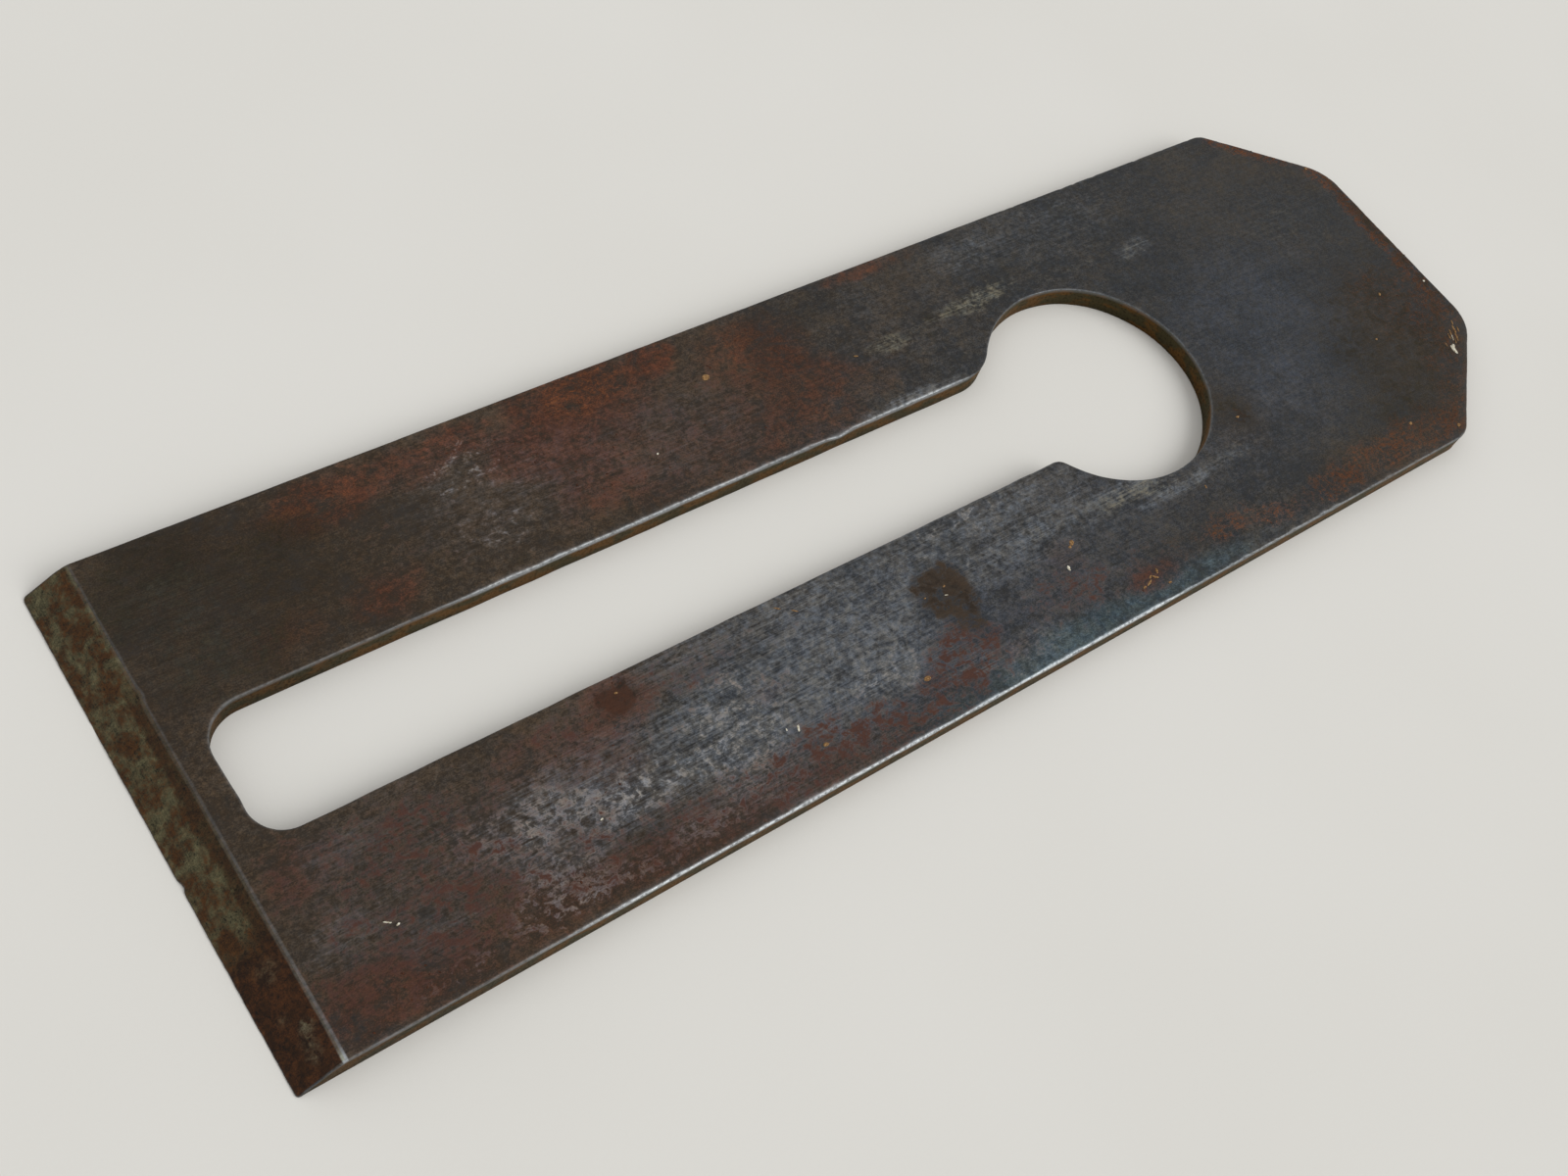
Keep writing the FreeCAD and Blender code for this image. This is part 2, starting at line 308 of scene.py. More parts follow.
PALE_FLECKS = tuple(
    Fleck(*row)
    for row in (
        (-33.0, -22.3, 0.95, 0.3, 62), (-34.3, -21.8, 0.4, 0.18, 80), (10.0, -20.5, 0.8, 0.42, 75),
        (89.5, -18.4, 1.7, 0.62, 84), (89.9, -17.9, 0.8, 0.5, 40), (91.1, -16.6, 1.3, 0.18, 60),
        (95.2, -6.8, 0.4, 0.35, 0), (-81.8, -20.1, 0.9, 0.2, -35), (-81.0, -20.8, 0.5, 0.2, 20),
        (-27.0, 15.6, 0.3, 0.25, 0), (-57.8, -21.0, 0.4, 0.22, 10), (-6.7, -16.4, 0.5, 0.14, -15),
    )
)
TAN_FLECKS = tuple(
    Fleck(*row)
    for row in (
        (12.8, -17.8, 0.9, 0.6, 40), (12.2, -18.2, 0.5, 0.35, 0), (18.3, -27.0, 1.3, 0.3, 25),
        (19.0, -26.4, 0.6, 0.25, 30), (19.6, -26.7, 1.0, 0.3, -40), (20.4, -26.1, 0.8, 0.3, 70),
        (17.3, -27.2, 0.6, 0.3, 10), (20.9, -28.2, 0.5, 0.3, 0), (91.4, -16.0, 1.6, 0.22, 62),
        (90.7, -16.3, 1.2, 0.18, 66), (89.0, -17.2, 0.8, 0.16, 75), (91.8, -16.9, 1.7, 0.26, 62),
        (92.6, -15.6, 1.5, 0.30, 68), (93.3, -14.6, 1.0, 0.22, 60), (92.3, -16.1, 1.2, 0.18, 55),
        (93.2, -15.9, 1.1, 0.20, 64), (91.0, -17.4, 0.9, 0.20, 50), (86.0, -5.7, 0.6, 0.3, 50),
        (78.9, -11.7, 0.45, 0.3, 0), (72.2, -25.0, 0.6, 0.45, 0), (79.2, -28.5, 0.7, 0.5, 20),
        (93.5, 18.0, 0.5, 0.4, 0), (-15.2, 22.8, 1.1, 0.9, 15), (-15.8, -24.3, 1.0, 0.6, 0),
        (-31.4, -25.4, 0.8, 0.5, 0), (-6.2, -15.3, 0.45, 0.25, 20), (-9.4, -15.6, 0.4, 0.2, 0),
        (4.8, 17.6, 0.7, 0.25, -20), (-48.6, -9.2, 0.4, 0.25, 0), (48.2, -12.8, 0.6, 0.35, 0),
        (35.7, -19.4, 0.6, 0.2, 80), (-26.3, -8.6, 1.0, 0.16, -40), (-24.6, -9.8, 0.9, 0.14, -40),
    )
)


def linear(code: str) -> tuple[float, float, float, float]:
    """Turn an sRGB hex colour into Blender's linear colour.

    Args:
        code: A colour such as "#6A5A4C".

    Returns:
        Red, green, blue and an alpha of one.
    """
    parts = [int(code[i : i + 2], 16) / 255 for i in (1, 3, 5)]
    red, green, blue = (c / 12.92 if c <= 0.04045 else ((c + 0.055) / 1.055) ** 2.4 for c in parts)
    return red, green, blue, 1.0


def add_node(tree: bpy.types.NodeTree, kind: str, settings: dict, inputs: dict) -> bpy.types.Node:
    """Add a node, set its properties and fill its inputs.

    Args:
        tree: The tree that gets the node.
        kind: The node's Blender type.
        settings: Property names and values.
        inputs: Input names or numbers, each with a value or with the socket that feeds it.

    Returns:
        The new node.
    """
    node = tree.nodes.new(kind)
    for name, value in settings.items():
        setattr(node, name, value)
    for key, value in inputs.items():
        if isinstance(value, bpy.types.NodeSocket):
            tree.links.new(value, node.inputs[key])
        else:
            node.inputs[key].default_value = value
    return node


def smooth(low: float, high: float, value: np.ndarray) -> np.ndarray:
    """Ease from 0 to 1 as value goes from low to high."""
    t = np.clip((value - low) / (high - low), 0, 1)
    return t * t * (3 - 2 * t)


def rubbed(value: np.ndarray, other: np.ndarray, radius: float) -> np.ndarray:
    """The larger of two values, rounded off over radius where they meet."""
    return (value + other + np.sqrt((value - other) ** 2 + radius**2)) / 2


class Grain:
    """Smooth random numbers over a plane, the same on every run.

    A number added to a place, as in x + 40, only picks another part of the same grain.
    """

    CELLS = 256

    def __init__(self, seed: int) -> None:
        """Fill the lattice.

        Args:
            seed: What the random numbers start from.
        """
        self.lattice = np.random.default_rng(seed).random((self.CELLS, self.CELLS)) * 2 - 1

    def at(self, x: np.ndarray, y: np.ndarray, size: float) -> np.ndarray:
        """Read the grain.

        Args:
            x: Places along X.
            y: Places along Y.
            size: How far apart the lattice's points lie, in the same unit.

        Returns:
            Values from -1 to 1.
        """
        u, v = np.asarray(x) / size, np.asarray(y) / size
        i, j = np.floor(u).astype(int), np.floor(v).astype(int)
        s, t = u - i, v - j
        s, t = s * s * (3 - 2 * s), t * t * (3 - 2 * t)
        i0, j0 = i % self.CELLS, j % self.CELLS
        i1, j1 = (i + 1) % self.CELLS, (j + 1) % self.CELLS
        low = self.lattice[i0, j0] * (1 - s) + self.lattice[i1, j0] * s
        high = self.lattice[i0, j1] * (1 - s) + self.lattice[i1, j1] * s
        return low * (1 - t) + high * t


@dataclass(frozen=True)
class Wave:
    """A slow unevenness of a surface: its depth and the size of its swells, in millimetres."""

    depth: float
    size: float

    def at(self, grain: Grain, x: np.ndarray, y: np.ndarray) -> np.ndarray:
        """How far the surface lies off at each place."""
        return self.depth * grain.at(x, y, self.size)


@dataclass(frozen=True)
class Dent:
    """A single dent, chip or burr in an edge: where it lies, half its length and its depth."""

    place: float
    half: float
    depth: float

    def at(self, along: np.ndarray) -> np.ndarray:
        """How deep it is at each place along the edge."""
        return self.depth * np.exp(-(((along - self.place) / self.half) ** 2))


def straight(start: np.ndarray, end: np.ndarray, pitch: float) -> np.ndarray:
    """Points from start towards end, about a pitch apart, without the end."""
    count = max(1, round(float(np.hypot(*(end - start))) / pitch))
    return start + np.linspace(0, 1, count, endpoint=False)[:, None] * (end - start)


def turned(centre: np.ndarray, radius: float, start: float, end: float, pitch: float) -> np.ndarray:
    """Points round an arc.

    Args:
        centre: The arc's centre.
        radius: Its radius.
        start: Its first angle, in radians.
        end: Its last angle.
        pitch: How far apart the points lie.

    Returns:
        The points, without the last.
    """
    count = max(3, round(abs(end - start) * radius / pitch))
    angles = np.linspace(start, end, count, endpoint=False)
    return centre + radius * np.column_stack([np.cos(angles), np.sin(angles)])


def eased_corner(before: np.ndarray, corner: np.ndarray, after: np.ndarray, radius: float) -> tuple:
    """The arc that eases a corner.

    Args:
        before: A point on the run that comes in.
        corner: The sharp corner.
        after: A point on the run that goes out.
        radius: The arc's radius.

    Returns:
        The arc's first point, its last point, its centre and its first and last angle.
    """
    back = (before - corner) / np.hypot(*(before - corner))
    ahead = (after - corner) / np.hypot(*(after - corner))
    half = math.acos(float(np.clip(back @ ahead, -1, 1))) / 2
    setback = radius / math.tan(half)
    inward = (back + ahead) / np.hypot(*(back + ahead))
    centre = corner + inward * radius / math.sin(half)
    first, last = corner + back * setback, corner + ahead * setback
    start = math.atan2(*(first - centre)[::-1])
    end = math.atan2(*(last - centre)[::-1])
    end = start + (end - start + math.pi) % (2 * math.pi) - math.pi
    return first, last, centre, start, end


# An eased corner has its points this much closer together than a straight run.
CORNER_PITCH = 0.6


def eased_path(start: np.ndarray, corners: Sequence[tuple], end: np.ndarray, pitch: float) -> np.ndarray:
    """Points along straight runs whose corners are eased.

    Args:
        start: Where the path starts.
        corners: The x, y and radius of each corner.
        end: Where it ends.
        pitch: How far apart the points lie.

    Returns:
        The points, in order, without the last.
    """
    stops = [start] + [np.array(c[:2], float) for c in corners] + [end]
    points, here = [], start
    for i, corner in enumerate(corners, start=1):
        first, last, centre, a, b = eased_corner(stops[i - 1], stops[i], stops[i + 1], corner[2])
        points.append(straight(here, first, pitch))
        points.append(turned(centre, corner[2], a, b, pitch * CORNER_PITCH))
        here = last
    points.append(straight(here, end, pitch))
    return np.vstack(points)


def inside(loop: np.ndarray, points: np.ndarray) -> np.ndarray:
    """Find the points inside a closed loop, by counting the crossings of a ray along X.

    Args:
        loop: The loop's points, in order.
        points: The points to test.

    Returns:
        True for each point that lies inside.
    """
    result = np.zeros(len(points), bool)
    for (x0, y0), (x1, y1) in zip(loop, np.roll(loop, -1, axis=0)):
        if y0 != y1:
            spans = (points[:, 1] >= min(y0, y1)) & (points[:, 1] < max(y0, y1))
            crossing = x0 + (points[:, 1] - y0) * (x1 - x0) / (y1 - y0)
            result ^= spans & (points[:, 0] < crossing)
    return result


def clear_of(points: np.ndarray, loop: np.ndarray, distance: float) -> np.ndarray:
    """Find the points that keep clear of a loop, a block at a time to spare memory.

    Args:
        points: The points to test.
        loop: The loop's points.
        distance: How far off a point has to lie from each of them.

    Returns:
        True for each point that lies clear.
    """
    block_size = 4000
    keep = np.ones(len(points), bool)
    for start in range(0, len(points), block_size):
        block = points[start : start + block_size]
        gaps = ((block[:, None, :] - loop[None, :, :]) ** 2).sum(axis=2).min(axis=1)
        keep[start : start + block_size] = gaps > distance**2
    return keep


def outward(loop: np.ndarray) -> np.ndarray:
    """The unit normals of a loop.

    Args:
        loop: The loop's points, anticlockwise.

    Returns:
        A normal for each point, pointing out of what the loop encloses.
    """
    run = np.roll(loop, -1, axis=0) - np.roll(loop, 1, axis=0)
    normal = np.column_stack([run[:, 1], -run[:, 0]])
    return normal / np.hypot(normal[:, 0], normal[:, 1])[:, None]


def ring_eased(values: np.ndarray, reach: int) -> np.ndarray:
    """Ease each value round a closed loop with its neighbours.

    Args:
        values: The values, in order.
        reach: How many neighbours on either side count.

    Returns:
        The eased values.
    """
    kernel = np.exp(-((np.arange(-reach, reach + 1) / (reach / 2)) ** 2))
    ring = np.concatenate([values[-reach:], values, values[:reach]])
    return np.convolve(ring, kernel / kernel.sum(), mode="valid")


# A worn run is whole out to this share of its half length and gone at that one.
RUN_WHOLE = 0.8
RUN_GONE = 1.15

# A patch is whole out to this share of its reach and gone at that one, and its outline wanders.
PATCH_WHOLE = 0.35
PATCH_GONE = 1.25
PATCH_WAVES = (Wave(1.0, 2.6), Wave(0.6, 1.1))


def patch_field(tone: Tone, x: np.ndarray, y: np.ndarray, grain: Grain) -> np.ndarray:
    """How much of a tone the face shows, before the material breaks it up.

    Args:
        tone: Which tone.
        x: Places along the blade.
        y: Places across it.
        grain: What makes the patches' outlines ragged.

    Returns:
        Values from 0 to 1.
    """
    total = np.zeros(len(x))
    broad, fine = PATCH_WAVES
    wander = broad.at(grain, x, y) + fine.at(grain, x + 31, y - 17)
    for patch in (Patch(*row) for row in PATCHES[tone]):
        turn = math.radians(patch.turn)
        u = (x - patch.x) * math.cos(turn) + (y - patch.y) * math.sin(turn)
        v = (y - patch.y) * math.cos(turn) - (x - patch.x) * math.sin(turn)
        reach = np.hypot(u / patch.along, v / patch.across)
        reach += wander / (1 + math.sqrt(patch.along * patch.across))
        total = 1 - (1 - total) * (1 - patch.strength * smooth(PATCH_GONE, PATCH_WHOLE, reach))
    return total


# The rows of a triangular lattice lie this share of its pitch apart, and its points keep clear of a row
# of their own and of the loops by these shares of it.
LATTICE_ROW = 0.866
ROW_CLEARANCE = 0.42
LOOP_CLEARANCE = 0.45


@dataclass
class Blade:
    """The plane iron's own form. Its length, width and thickness come from the frame.

    A clip is its run along the blade and across it, and a clip's radii are at its side end and its head
    end. Every other pair of radii is the far side's and then the near side's.
    """

    length: float
    width: float
    thickness: float

    # The head's clipped corners, cut by eye, with the radii at their side ends and head ends.
    far_clip: tuple[float, float] = (15.3, 13.8)
    near_clip: tuple[float, float] = (17.0, 14.8)
    far_clip_radii: tuple[float, float] = (2.5, 7.5)
    near_clip_radii: tuple[float, float] = (5.0, 7.0)

    # The keyhole and the slot, whose end is filed by hand and swells inward a little.
    keyhole_radius: float = 15.8
    keyhole_from_head: float = 62.5
    keyhole_offset: float = 0.2
    slot_width: float = 15.6
    slot_offset: float = 0.65
    slot_end_from_edge: float = 8.0
    slot_corner_radii: tuple[float, float] = (5.0, 4.0)
    slot_swell: float = 0.4
    slot_swell_from_arc: float = 1.4
    slot_swell_radius: float = 9.0
    blend_radii: tuple[float, float] = (7.5, 2.0)

    # The bevel, a hair askew: a strip of the older grind beside the arris, then the honed facet.
    bevel_run: float = 4.9
    bevel_skew: float = 0.0012
    old_facet_run: float = 1.4
    old_facet_angle: float = 25.0
    edge_corner_radii: tuple[float, float] = (0.6, 0.4)
    edge_land: float = 0.05
    ridge_radius: float = 0.05
    ridge_reach: float = 3.0

    # What use has done to the edges.
    arris_dent: Dent = Dent(13.0, 0.9, 0.22)
    chip: Dent = Dent(-6.4, 0.5, 0.25)
    burr: Dent = Dent(-4.6, 1.5, 0.42)
    chip_reach: float = 0.3
    back_wear: float = 0.2

    # Wear on an arris that no run names: its width, how bright it is, as rubbed steel and partly as painted
    # highlight, and how jagged it is.
    resting_wear_and_highlight: tuple[float, float, float] = (0.18, 0.12, 0.15)
    # How bright each row of points round an arris is, from the face over to the wall: rubbed steel, and
    # partly painted highlight.
    arris_glow: tuple[float, ...] = (0.04, 0.22, 0.65, 1.0, 0.90)
    # Wear goes less deep than it is wide, and takes no more than a share of the height of a thin edge.
    wear_depth: float = 0.8
    wear_limit: float = 0.3
    least_wear: float = 0.005
    # Arris brightness, partly painted highlight, goes no higher; its top is the painted glint.
    brightest: float = 1.4
    # How much wider and how much duller a jag makes the wear.
    jag_width: float = 0.9
    jag_dulling: float = 0.35
    wear_easing: int = 6
    # A jagged arris is nibbled where a grain of this size lies between these levels.
    nibble_size: float = 0.8
    nibble_from: tuple[float, float] = (0.15, 0.8)

    # Slow unevenness of the surfaces, as hammering, grinding and filing leave it.
    edge_rag: Wave = Wave(0.05, 0.9)
    opening_wave: Wave = Wave(0.04, 4.0)
    arris_wave: Wave = Wave(0.05, 6.0)
    wear_wave: Wave = Wave(0.25, 3.0)
    file_wave: Wave = Wave(0.03, 2.2)
    file_drift: float = 9.0
    wall_hollow: float = 0.02
    face_waves: tuple[Wave, Wave] = (Wave(0.012, 9.0), Wave(0.008, 3.5))
    back_wave: Wave = Wave(0.02, 8.0)
    rust_pits: Wave = Wave(0.03, 1.2)
    pits_from: tuple[float, float] = (0.2, 0.7)

    # How white the bevel's arris line is at the far side, and where across the blade it gains how much. The
    # line is partly rubbed steel and partly painted highlight, whitest at the near corner.
    # It shows above this share of the thickness.
    line_floor: float = 0.6
    line_base: float = 0.07
    line_gains: tuple[tuple[float, float, float], ...] = (
        (0.0, -12.0, 0.03),
        (-14.0, -27.0, 0.08),
        (-28.4, -29.8, 0.60),
    )

    # Where one stretch of an outline ends and the next begins.
    edge_margin: float = 0.7
    keyhole_from: float = 0.78

    # How far apart the mesh's points lie.
    face_pitch: float = 0.46
    back_pitch: float = 1.3
    outer_pitch: float = 0.5
    opening_pitch: float = 0.45
    near_blend_pitch: float = 0.225
    keyhole_pitch: float = 0.36
    far_blend_pitch: float = 0.315
    arris_row_gap: float = 0.20
    arris_row_pitch: float = 0.36
    wall_steps: int = 5
    grain: Grain = field(default_factory=lambda: Grain(11))

    def __post_init__(self) -> None:
        """Work out the places that the driving sizes give."""
        self.edge_x = -self.length / 2
        self.head_x = self.length / 2
        self.far_y = self.width / 2
        self.near_y = -self.width / 2
        self.keyhole = np.array([self.head_x - self.keyhole_from_head, self.keyhole_offset])
        self.slot_end_x = self.edge_x + self.slot_end_from_edge
        self.slot_far_y = self.slot_offset + self.slot_width / 2
        self.slot_near_y = self.slot_offset - self.slot_width / 2
        self.arris_x = self.edge_x + self.bevel_run
        self.arris_steps = len(self.arris_glow)

    def outer_loop(self) -> np.ndarray:
        """Draw the outline, with the chip and the ragged cutting edge.

        Returns:
            The outline's points, anticlockwise seen from above.
        """
        corners = [
            (self.edge_x, self.near_y, self.edge_corner_radii[1]),
            (self.head_x - self.near_clip[0], self.near_y, self.near_clip_radii[0]),
            (self.head_x, self.near_y + self.near_clip[1], self.near_clip_radii[1]),
            (self.head_x, self.far_y - self.far_clip[1], self.far_clip_radii[1]),
            (self.head_x - self.far_clip[0], self.far_y, self.far_clip_radii[0]),
            (self.edge_x, self.far_y, self.edge_corner_radii[0]),
        ]
        start = np.array([self.edge_x, 0.0])
        loop = eased_path(start, corners, start, self.outer_pitch)
        x, y = loop.T
        at_edge = smooth(self.edge_x + self.chip_reach, self.edge_x, x)
        ragged = np.abs(self.edge_rag.at(self.grain, y, y * 0))
        return np.column_stack([x + at_edge * (self.chip.at(y) + ragged), y])

    def blend(self, side: int, radius: float) -> tuple:
        """The arc that eases a slot wall into the keyhole.

        Args:
            side: 1 for the far wall, -1 for the near wall.
            radius: The arc's radius.

        Returns:
            The arc's centre, its point on the wall and its point on the circle.
        """
        wall_y = self.slot_offset + side * self.slot_width / 2
        centre_y = wall_y + side * radius
        reach = self.keyhole_radius + radius
        centre_x = self.keyhole[0] - math.sqrt(reach**2 - (centre_y - self.keyhole[1]) ** 2)
        centre = np.array([centre_x, centre_y])
        on_circle = self.keyhole + (centre - self.keyhole) * self.keyhole_radius / reach
        return centre, np.array([centre_x, wall_y]), on_circle

    def opening_loop(self) -> np.ndarray:
        """Draw the keyhole slot, with the slight waver of its walls.

        Returns:
            The opening's points, anticlockwise seen from above.
        """
        far_centre, far_wall, far_circle = self.blend(1, self.blend_radii[0])
        near_centre, near_wall, near_circle = self.blend(-1, self.blend_radii[1])
        swell_y = self.slot_near_y + self.slot_corner_radii[1] + self.slot_swell_from_arc
        corners = [
            (self.slot_end_x, self.slot_far_y, self.slot_corner_radii[0]),
            (self.slot_end_x + self.slot_swell, swell_y, self.slot_swell_radius),
            (self.slot_end_x, self.slot_near_y, self.slot_corner_radii[1]),
        ]
        near_turn = math.atan2(*(near_circle - near_centre)[::-1])
        circle_start = math.atan2(*(near_circle - self.keyhole)[::-1])
        circle_end = math.atan2(*(far_circle - self.keyhole)[::-1])
        far_turn = math.atan2(*(far_circle - far_centre)[::-1])
        runs = [
            eased_path(far_wall, corners, near_wall, self.opening_pitch),
            turned(near_centre, self.blend_radii[1], math.pi / 2, near_turn, self.near_blend_pitch),
            turned(self.keyhole, self.keyhole_radius, circle_start, circle_end, self.keyhole_pitch),
            turned(far_centre, self.blend_radii[0], far_turn, -math.pi / 2, self.far_blend_pitch),
        ]
        loop = np.vstack(runs)
        waver = self.opening_wave.at(self.grain, loop[:, 0] + 60, loop[:, 1])
        return loop + outward(loop) * waver[:, None]

    def arris_at(self, y: np.ndarray) -> np.ndarray:
        """Find the bevel's arris: a little askew, with a slight waver and one dent.

        Args:
            y: Places across the blade.

        Returns:
            The arris's place along X at each of them.
        """
        waver = self.arris_wave.at(self.grain, y + 90, y * 0)
        return self.arris_x - self.bevel_skew * y + waver + self.arris_dent.at(y)

    def face_height(self, x: np.ndarray, y: np.ndarray) -> np.ndarray:
        """The height of the upper side: the flat face and the bevel's two facets.

        Args:
            x: Places along the blade.
            y: Places across it.

        Returns:
            The height at each place.
        """
        into = self.arris_at(y) - x
        old_slope = math.tan(math.radians(self.old_facet_angle))
        old_drop = self.old_facet_run * old_slope
        honed_slope = (self.thickness - self.edge_land - old_drop) / (self.bevel_run - self.old_facet_run)
        honed = old_drop + (into - self.old_facet_run) * honed_slope
        bevel = rubbed(into * old_slope, honed, self.ridge_radius)
        drop = rubbed(bevel, np.zeros(len(x)), self.ridge_radius)
        # Rounding the arris lowers the face beside it by half the radius, and that is given back.
        drop -= self.ridge_radius / 2 * smooth(self.ridge_reach, 0, np.abs(into))
        broad, fine = self.face_waves
        uneven = broad.at(self.grain, x, y) + fine.at(self.grain, x + 40, y)
        pitted = smooth(*self.pits_from, self.grain.at(x, y + 70, self.rust_pits.size))
        pits = self.rust_pits.depth * patch_field(Tone.RUST, x, y, self.grain) * pitted
        height = self.thickness - np.maximum(drop, 0) + np.minimum(uneven, 0) - pits
        return np.clip(height, self.edge_land, self.thickness)

    def side_of(self, point: np.ndarray, opening: bool) -> Side:
        """Name the stretch of its loop that a point belongs to.

        Args:
            point: The point's x and y.
            opening: True for a point of the keyhole slot.

        Returns:
            The stretch.
        """
        x, y = point
        if not opening:
            if x < self.edge_x + self.edge_margin and abs(y) < self.far_y - self.edge_margin:
                return Side.EDGE
            if x > self.head_x - self.near_clip[0]:
                return Side.HEAD
            return Side.OUTER_FAR if y > 0 else Side.OUTER_NEAR
        if x > self.keyhole[0] - self.keyhole_radius * self.keyhole_from:
            return Side.KEYHOLE
        if x < self.slot_end_x + self.slot_corner_radii[1]:
            return Side.SLOT_END
        return Side.SLOT_FAR if y > 0 else Side.SLOT_NEAR

    def wear(self, loop: np.ndarray, opening: bool) -> tuple[np.ndarray, np.ndarray]:
        """Work out the wear along a loop's arris.

        Args:
            loop: The loop's points.
            opening: True for the keyhole slot.

        Returns:
            How wide the arris wears at each point, and how bright it is, as rubbed steel and
            partly as painted highlight.
        """
        sides = [self.side_of(point, opening) for point in loop]
        worn = [np.full(len(loop), value) for value in self.resting_wear_and_highlight]
        x, y = loop.T
        for run in WEAR_HIGHLIGHT_RUNS:
            on = np.array([side is run.side for side in sides])
            share = on * smooth(RUN_GONE, RUN_WHOLE, np.abs(x - run.x) / run.half)
            for values, wanted in zip(worn, (run.width, run.bright, run.jag)):
                values += share * (wanted - values)
        width, bright, jag = (ring_eased(values, self.wear_easing) for values in worn)
        # Nibbles are three times as long along the blade as across it.
        nibble = jag * smooth(*self.nibble_from, self.grain.at(x, y * 3 + 13, self.nibble_size))
        width *= (1 + self.wear_wave.at(self.grain, x + 7, y)) * (1 + self.jag_width * nibble)
        return width, np.clip(bright * (1 - self.jag_dulling * nibble), 0, self.brightest)

    def edge_band(self, loop: np.ndarray, opening: bool) -> Band:
        """The rounded arrises and the wall along one loop.

        Args:
            loop: The loop's points, anticlockwise.
            opening: True for the keyhole slot, whose metal lies outside the loop.

        Returns:
            The band's rows of points, from the face down to the back.
        """
        normal = outward(loop) * (-1 if opening else 1)
        width, bright = self.wear(loop, opening)
        top = self.face_height(*(loop - normal * width[:, None]).T)
        limit = np.clip(top * self.wear_limit, self.least_wear, None)
        wear = np.minimum(width, limit)
        wall_top, wall_foot = top - wear * self.wear_depth, np.minimum(self.back_wear, limit)
        x, y = loop.T
        turns = [math.pi / 2 * step / (self.arris_steps - 1) for step in range(self.arris_steps)]
        rows = []
        for turn in turns:
            rows.append((wear * (1 - math.sin(turn)), top - wear * self.wear_depth * (1 - math.cos(turn))))
        for step in range(1, self.wall_steps):
            share = step / self.wall_steps
            down = np.full(len(loop), share * self.file_drift)
            filed = self.file_wave.at(self.grain, x + y, down) * smooth(0, 0.5, top)
            rows.append((self.wall_hollow + filed, wall_top + (wall_foot - wall_top) * share))
        for turn in turns:
            rows.append((wall_foot * (1 - math.cos(turn)), wall_foot * (1 - math.sin(turn))))
        if opening:
            # The burr leans out over the slot, most at its middle row.
            lip = self.burr.at(x) * (y > self.slot_offset)
            for step in range(1, self.arris_steps + 1):
                inset, height = rows[step]
                rows[step] = (inset - lip * math.sin(math.pi * step / (self.arris_steps + 1)), height)
        points = [np.column_stack([loop - normal * inset[:, None], height]) for inset, height in rows]
        below = len(rows) - self.arris_steps
        glow = np.array(self.arris_glow + (0.0,) * below)
        walls = np.array([0.0] * self.arris_steps + [1.0] * below)
        return Band(np.stack(points), glow[:, None] * bright, walls, opening)

    def filling(self, loops: Sequence[np.ndarray], pitch: float, rows_at: Sequence[float]) -> np.ndarray:
        """Points spread over the metal between the loops, on a triangular lattice.

        Args:
            loops: The outer loop and the opening's loop.
            pitch: How far apart the points lie.
            rows_at: Places along X that get a row of points of their own.

        Returns:
            The points, in the plane.
        """
        xs = np.arange(self.edge_x, self.head_x, pitch)
        ys = np.arange(self.near_y, self.far_y, pitch * LATTICE_ROW)
        grid_x, grid_y = np.meshgrid(xs, ys)
        grid_x[1::2] += pitch / 2
        points = np.column_stack([grid_x.ravel(), grid_y.ravel()])
        for row_x in rows_at:
            row_y = np.arange(self.near_y, self.far_y, self.arris_row_pitch)
            near_row = np.abs(points[:, 0] - row_x) < pitch * ROW_CLEARANCE
            points = points[~near_row]
            points = np.vstack([points, np.column_stack([np.full(len(row_y), row_x), row_y])])
        points = points[inside(loops[0], points) & ~inside(loops[1], points)]
        for loop in loops:
            points = points[clear_of(points, loop, pitch * LOOP_CLEARANCE)]
        return points

    def cover(self, mesh: MeshDraft, bands: Sequence[Band], starts: Sequence[int], upper: bool) -> None:
        """Close the upper side or the back between the bands.

        Args:
            mesh: The mesh that gets the points and faces.
            bands: The outer band and the opening's band.
            starts: The number of each band's first point in the mesh.
            upper: True for the upper side, False for the back.
        """
        row = 0 if upper else -1
        loops = [band.points[row, :, :2] for band in bands]
        if upper:
            rows_at = [self.arris_x + shift for shift in (-self.arris_row_gap, 0.0, self.arris_row_gap)]
            rows_at.append(self.arris_x - self.old_facet_run)
            inner = self.filling(loops, self.face_pitch, rows_at)
            height = self.face_height(*inner.T)
        else:
            inner = self.filling(loops, self.back_pitch, [])
            height = self.back_wave.depth * smooth(0, 1, self.grain.at(*inner.T, self.back_wave.size))
        unworn = np.zeros(len(inner))
        start = mesh.add_points(np.column_stack([inner, height]), unworn, unworn)
        numbers = [band.row_index(row, first) for band, first in zip(bands, starts)]
        index = np.concatenate([*numbers, start + np.arange(len(inner))])
        for corners in self.triangles(loops, inner):
            face = [int(index[corner]) for corner in corners]
            if upper:
                x, y, _ = mesh.middle(face)
                mesh.add_face(face, Part.BEVEL if x < self.arris_at(np.array([y]))[0] else Part.FACE)
            else:
                mesh.add_face(face[::-1], Part.BACK)

    def build(self) -> bpy.types.Object:
        """Build the blade's mesh with its attributes and material slots.

        Returns:
            The blade's object, at the origin, in metres.
        """
        bands = [self.edge_band(self.outer_loop(), False), self.edge_band(self.opening_loop(), True)]
        mesh = MeshDraft()
        starts = [mesh.add_points(band.flat(), band.brightness(), band.wall_share()) for band in bands]
        for band, start in zip(bands, starts):
            for quad, row in band.quads():
                part = Part.WALL if row >= self.arris_steps - 1 else Part.FACE
                mesh.add_face([start + corner for corner in quad], part)
        for upper in (True, False):
            self.cover(mesh, bands, starts, upper)
        return mesh.finish("blade", self)

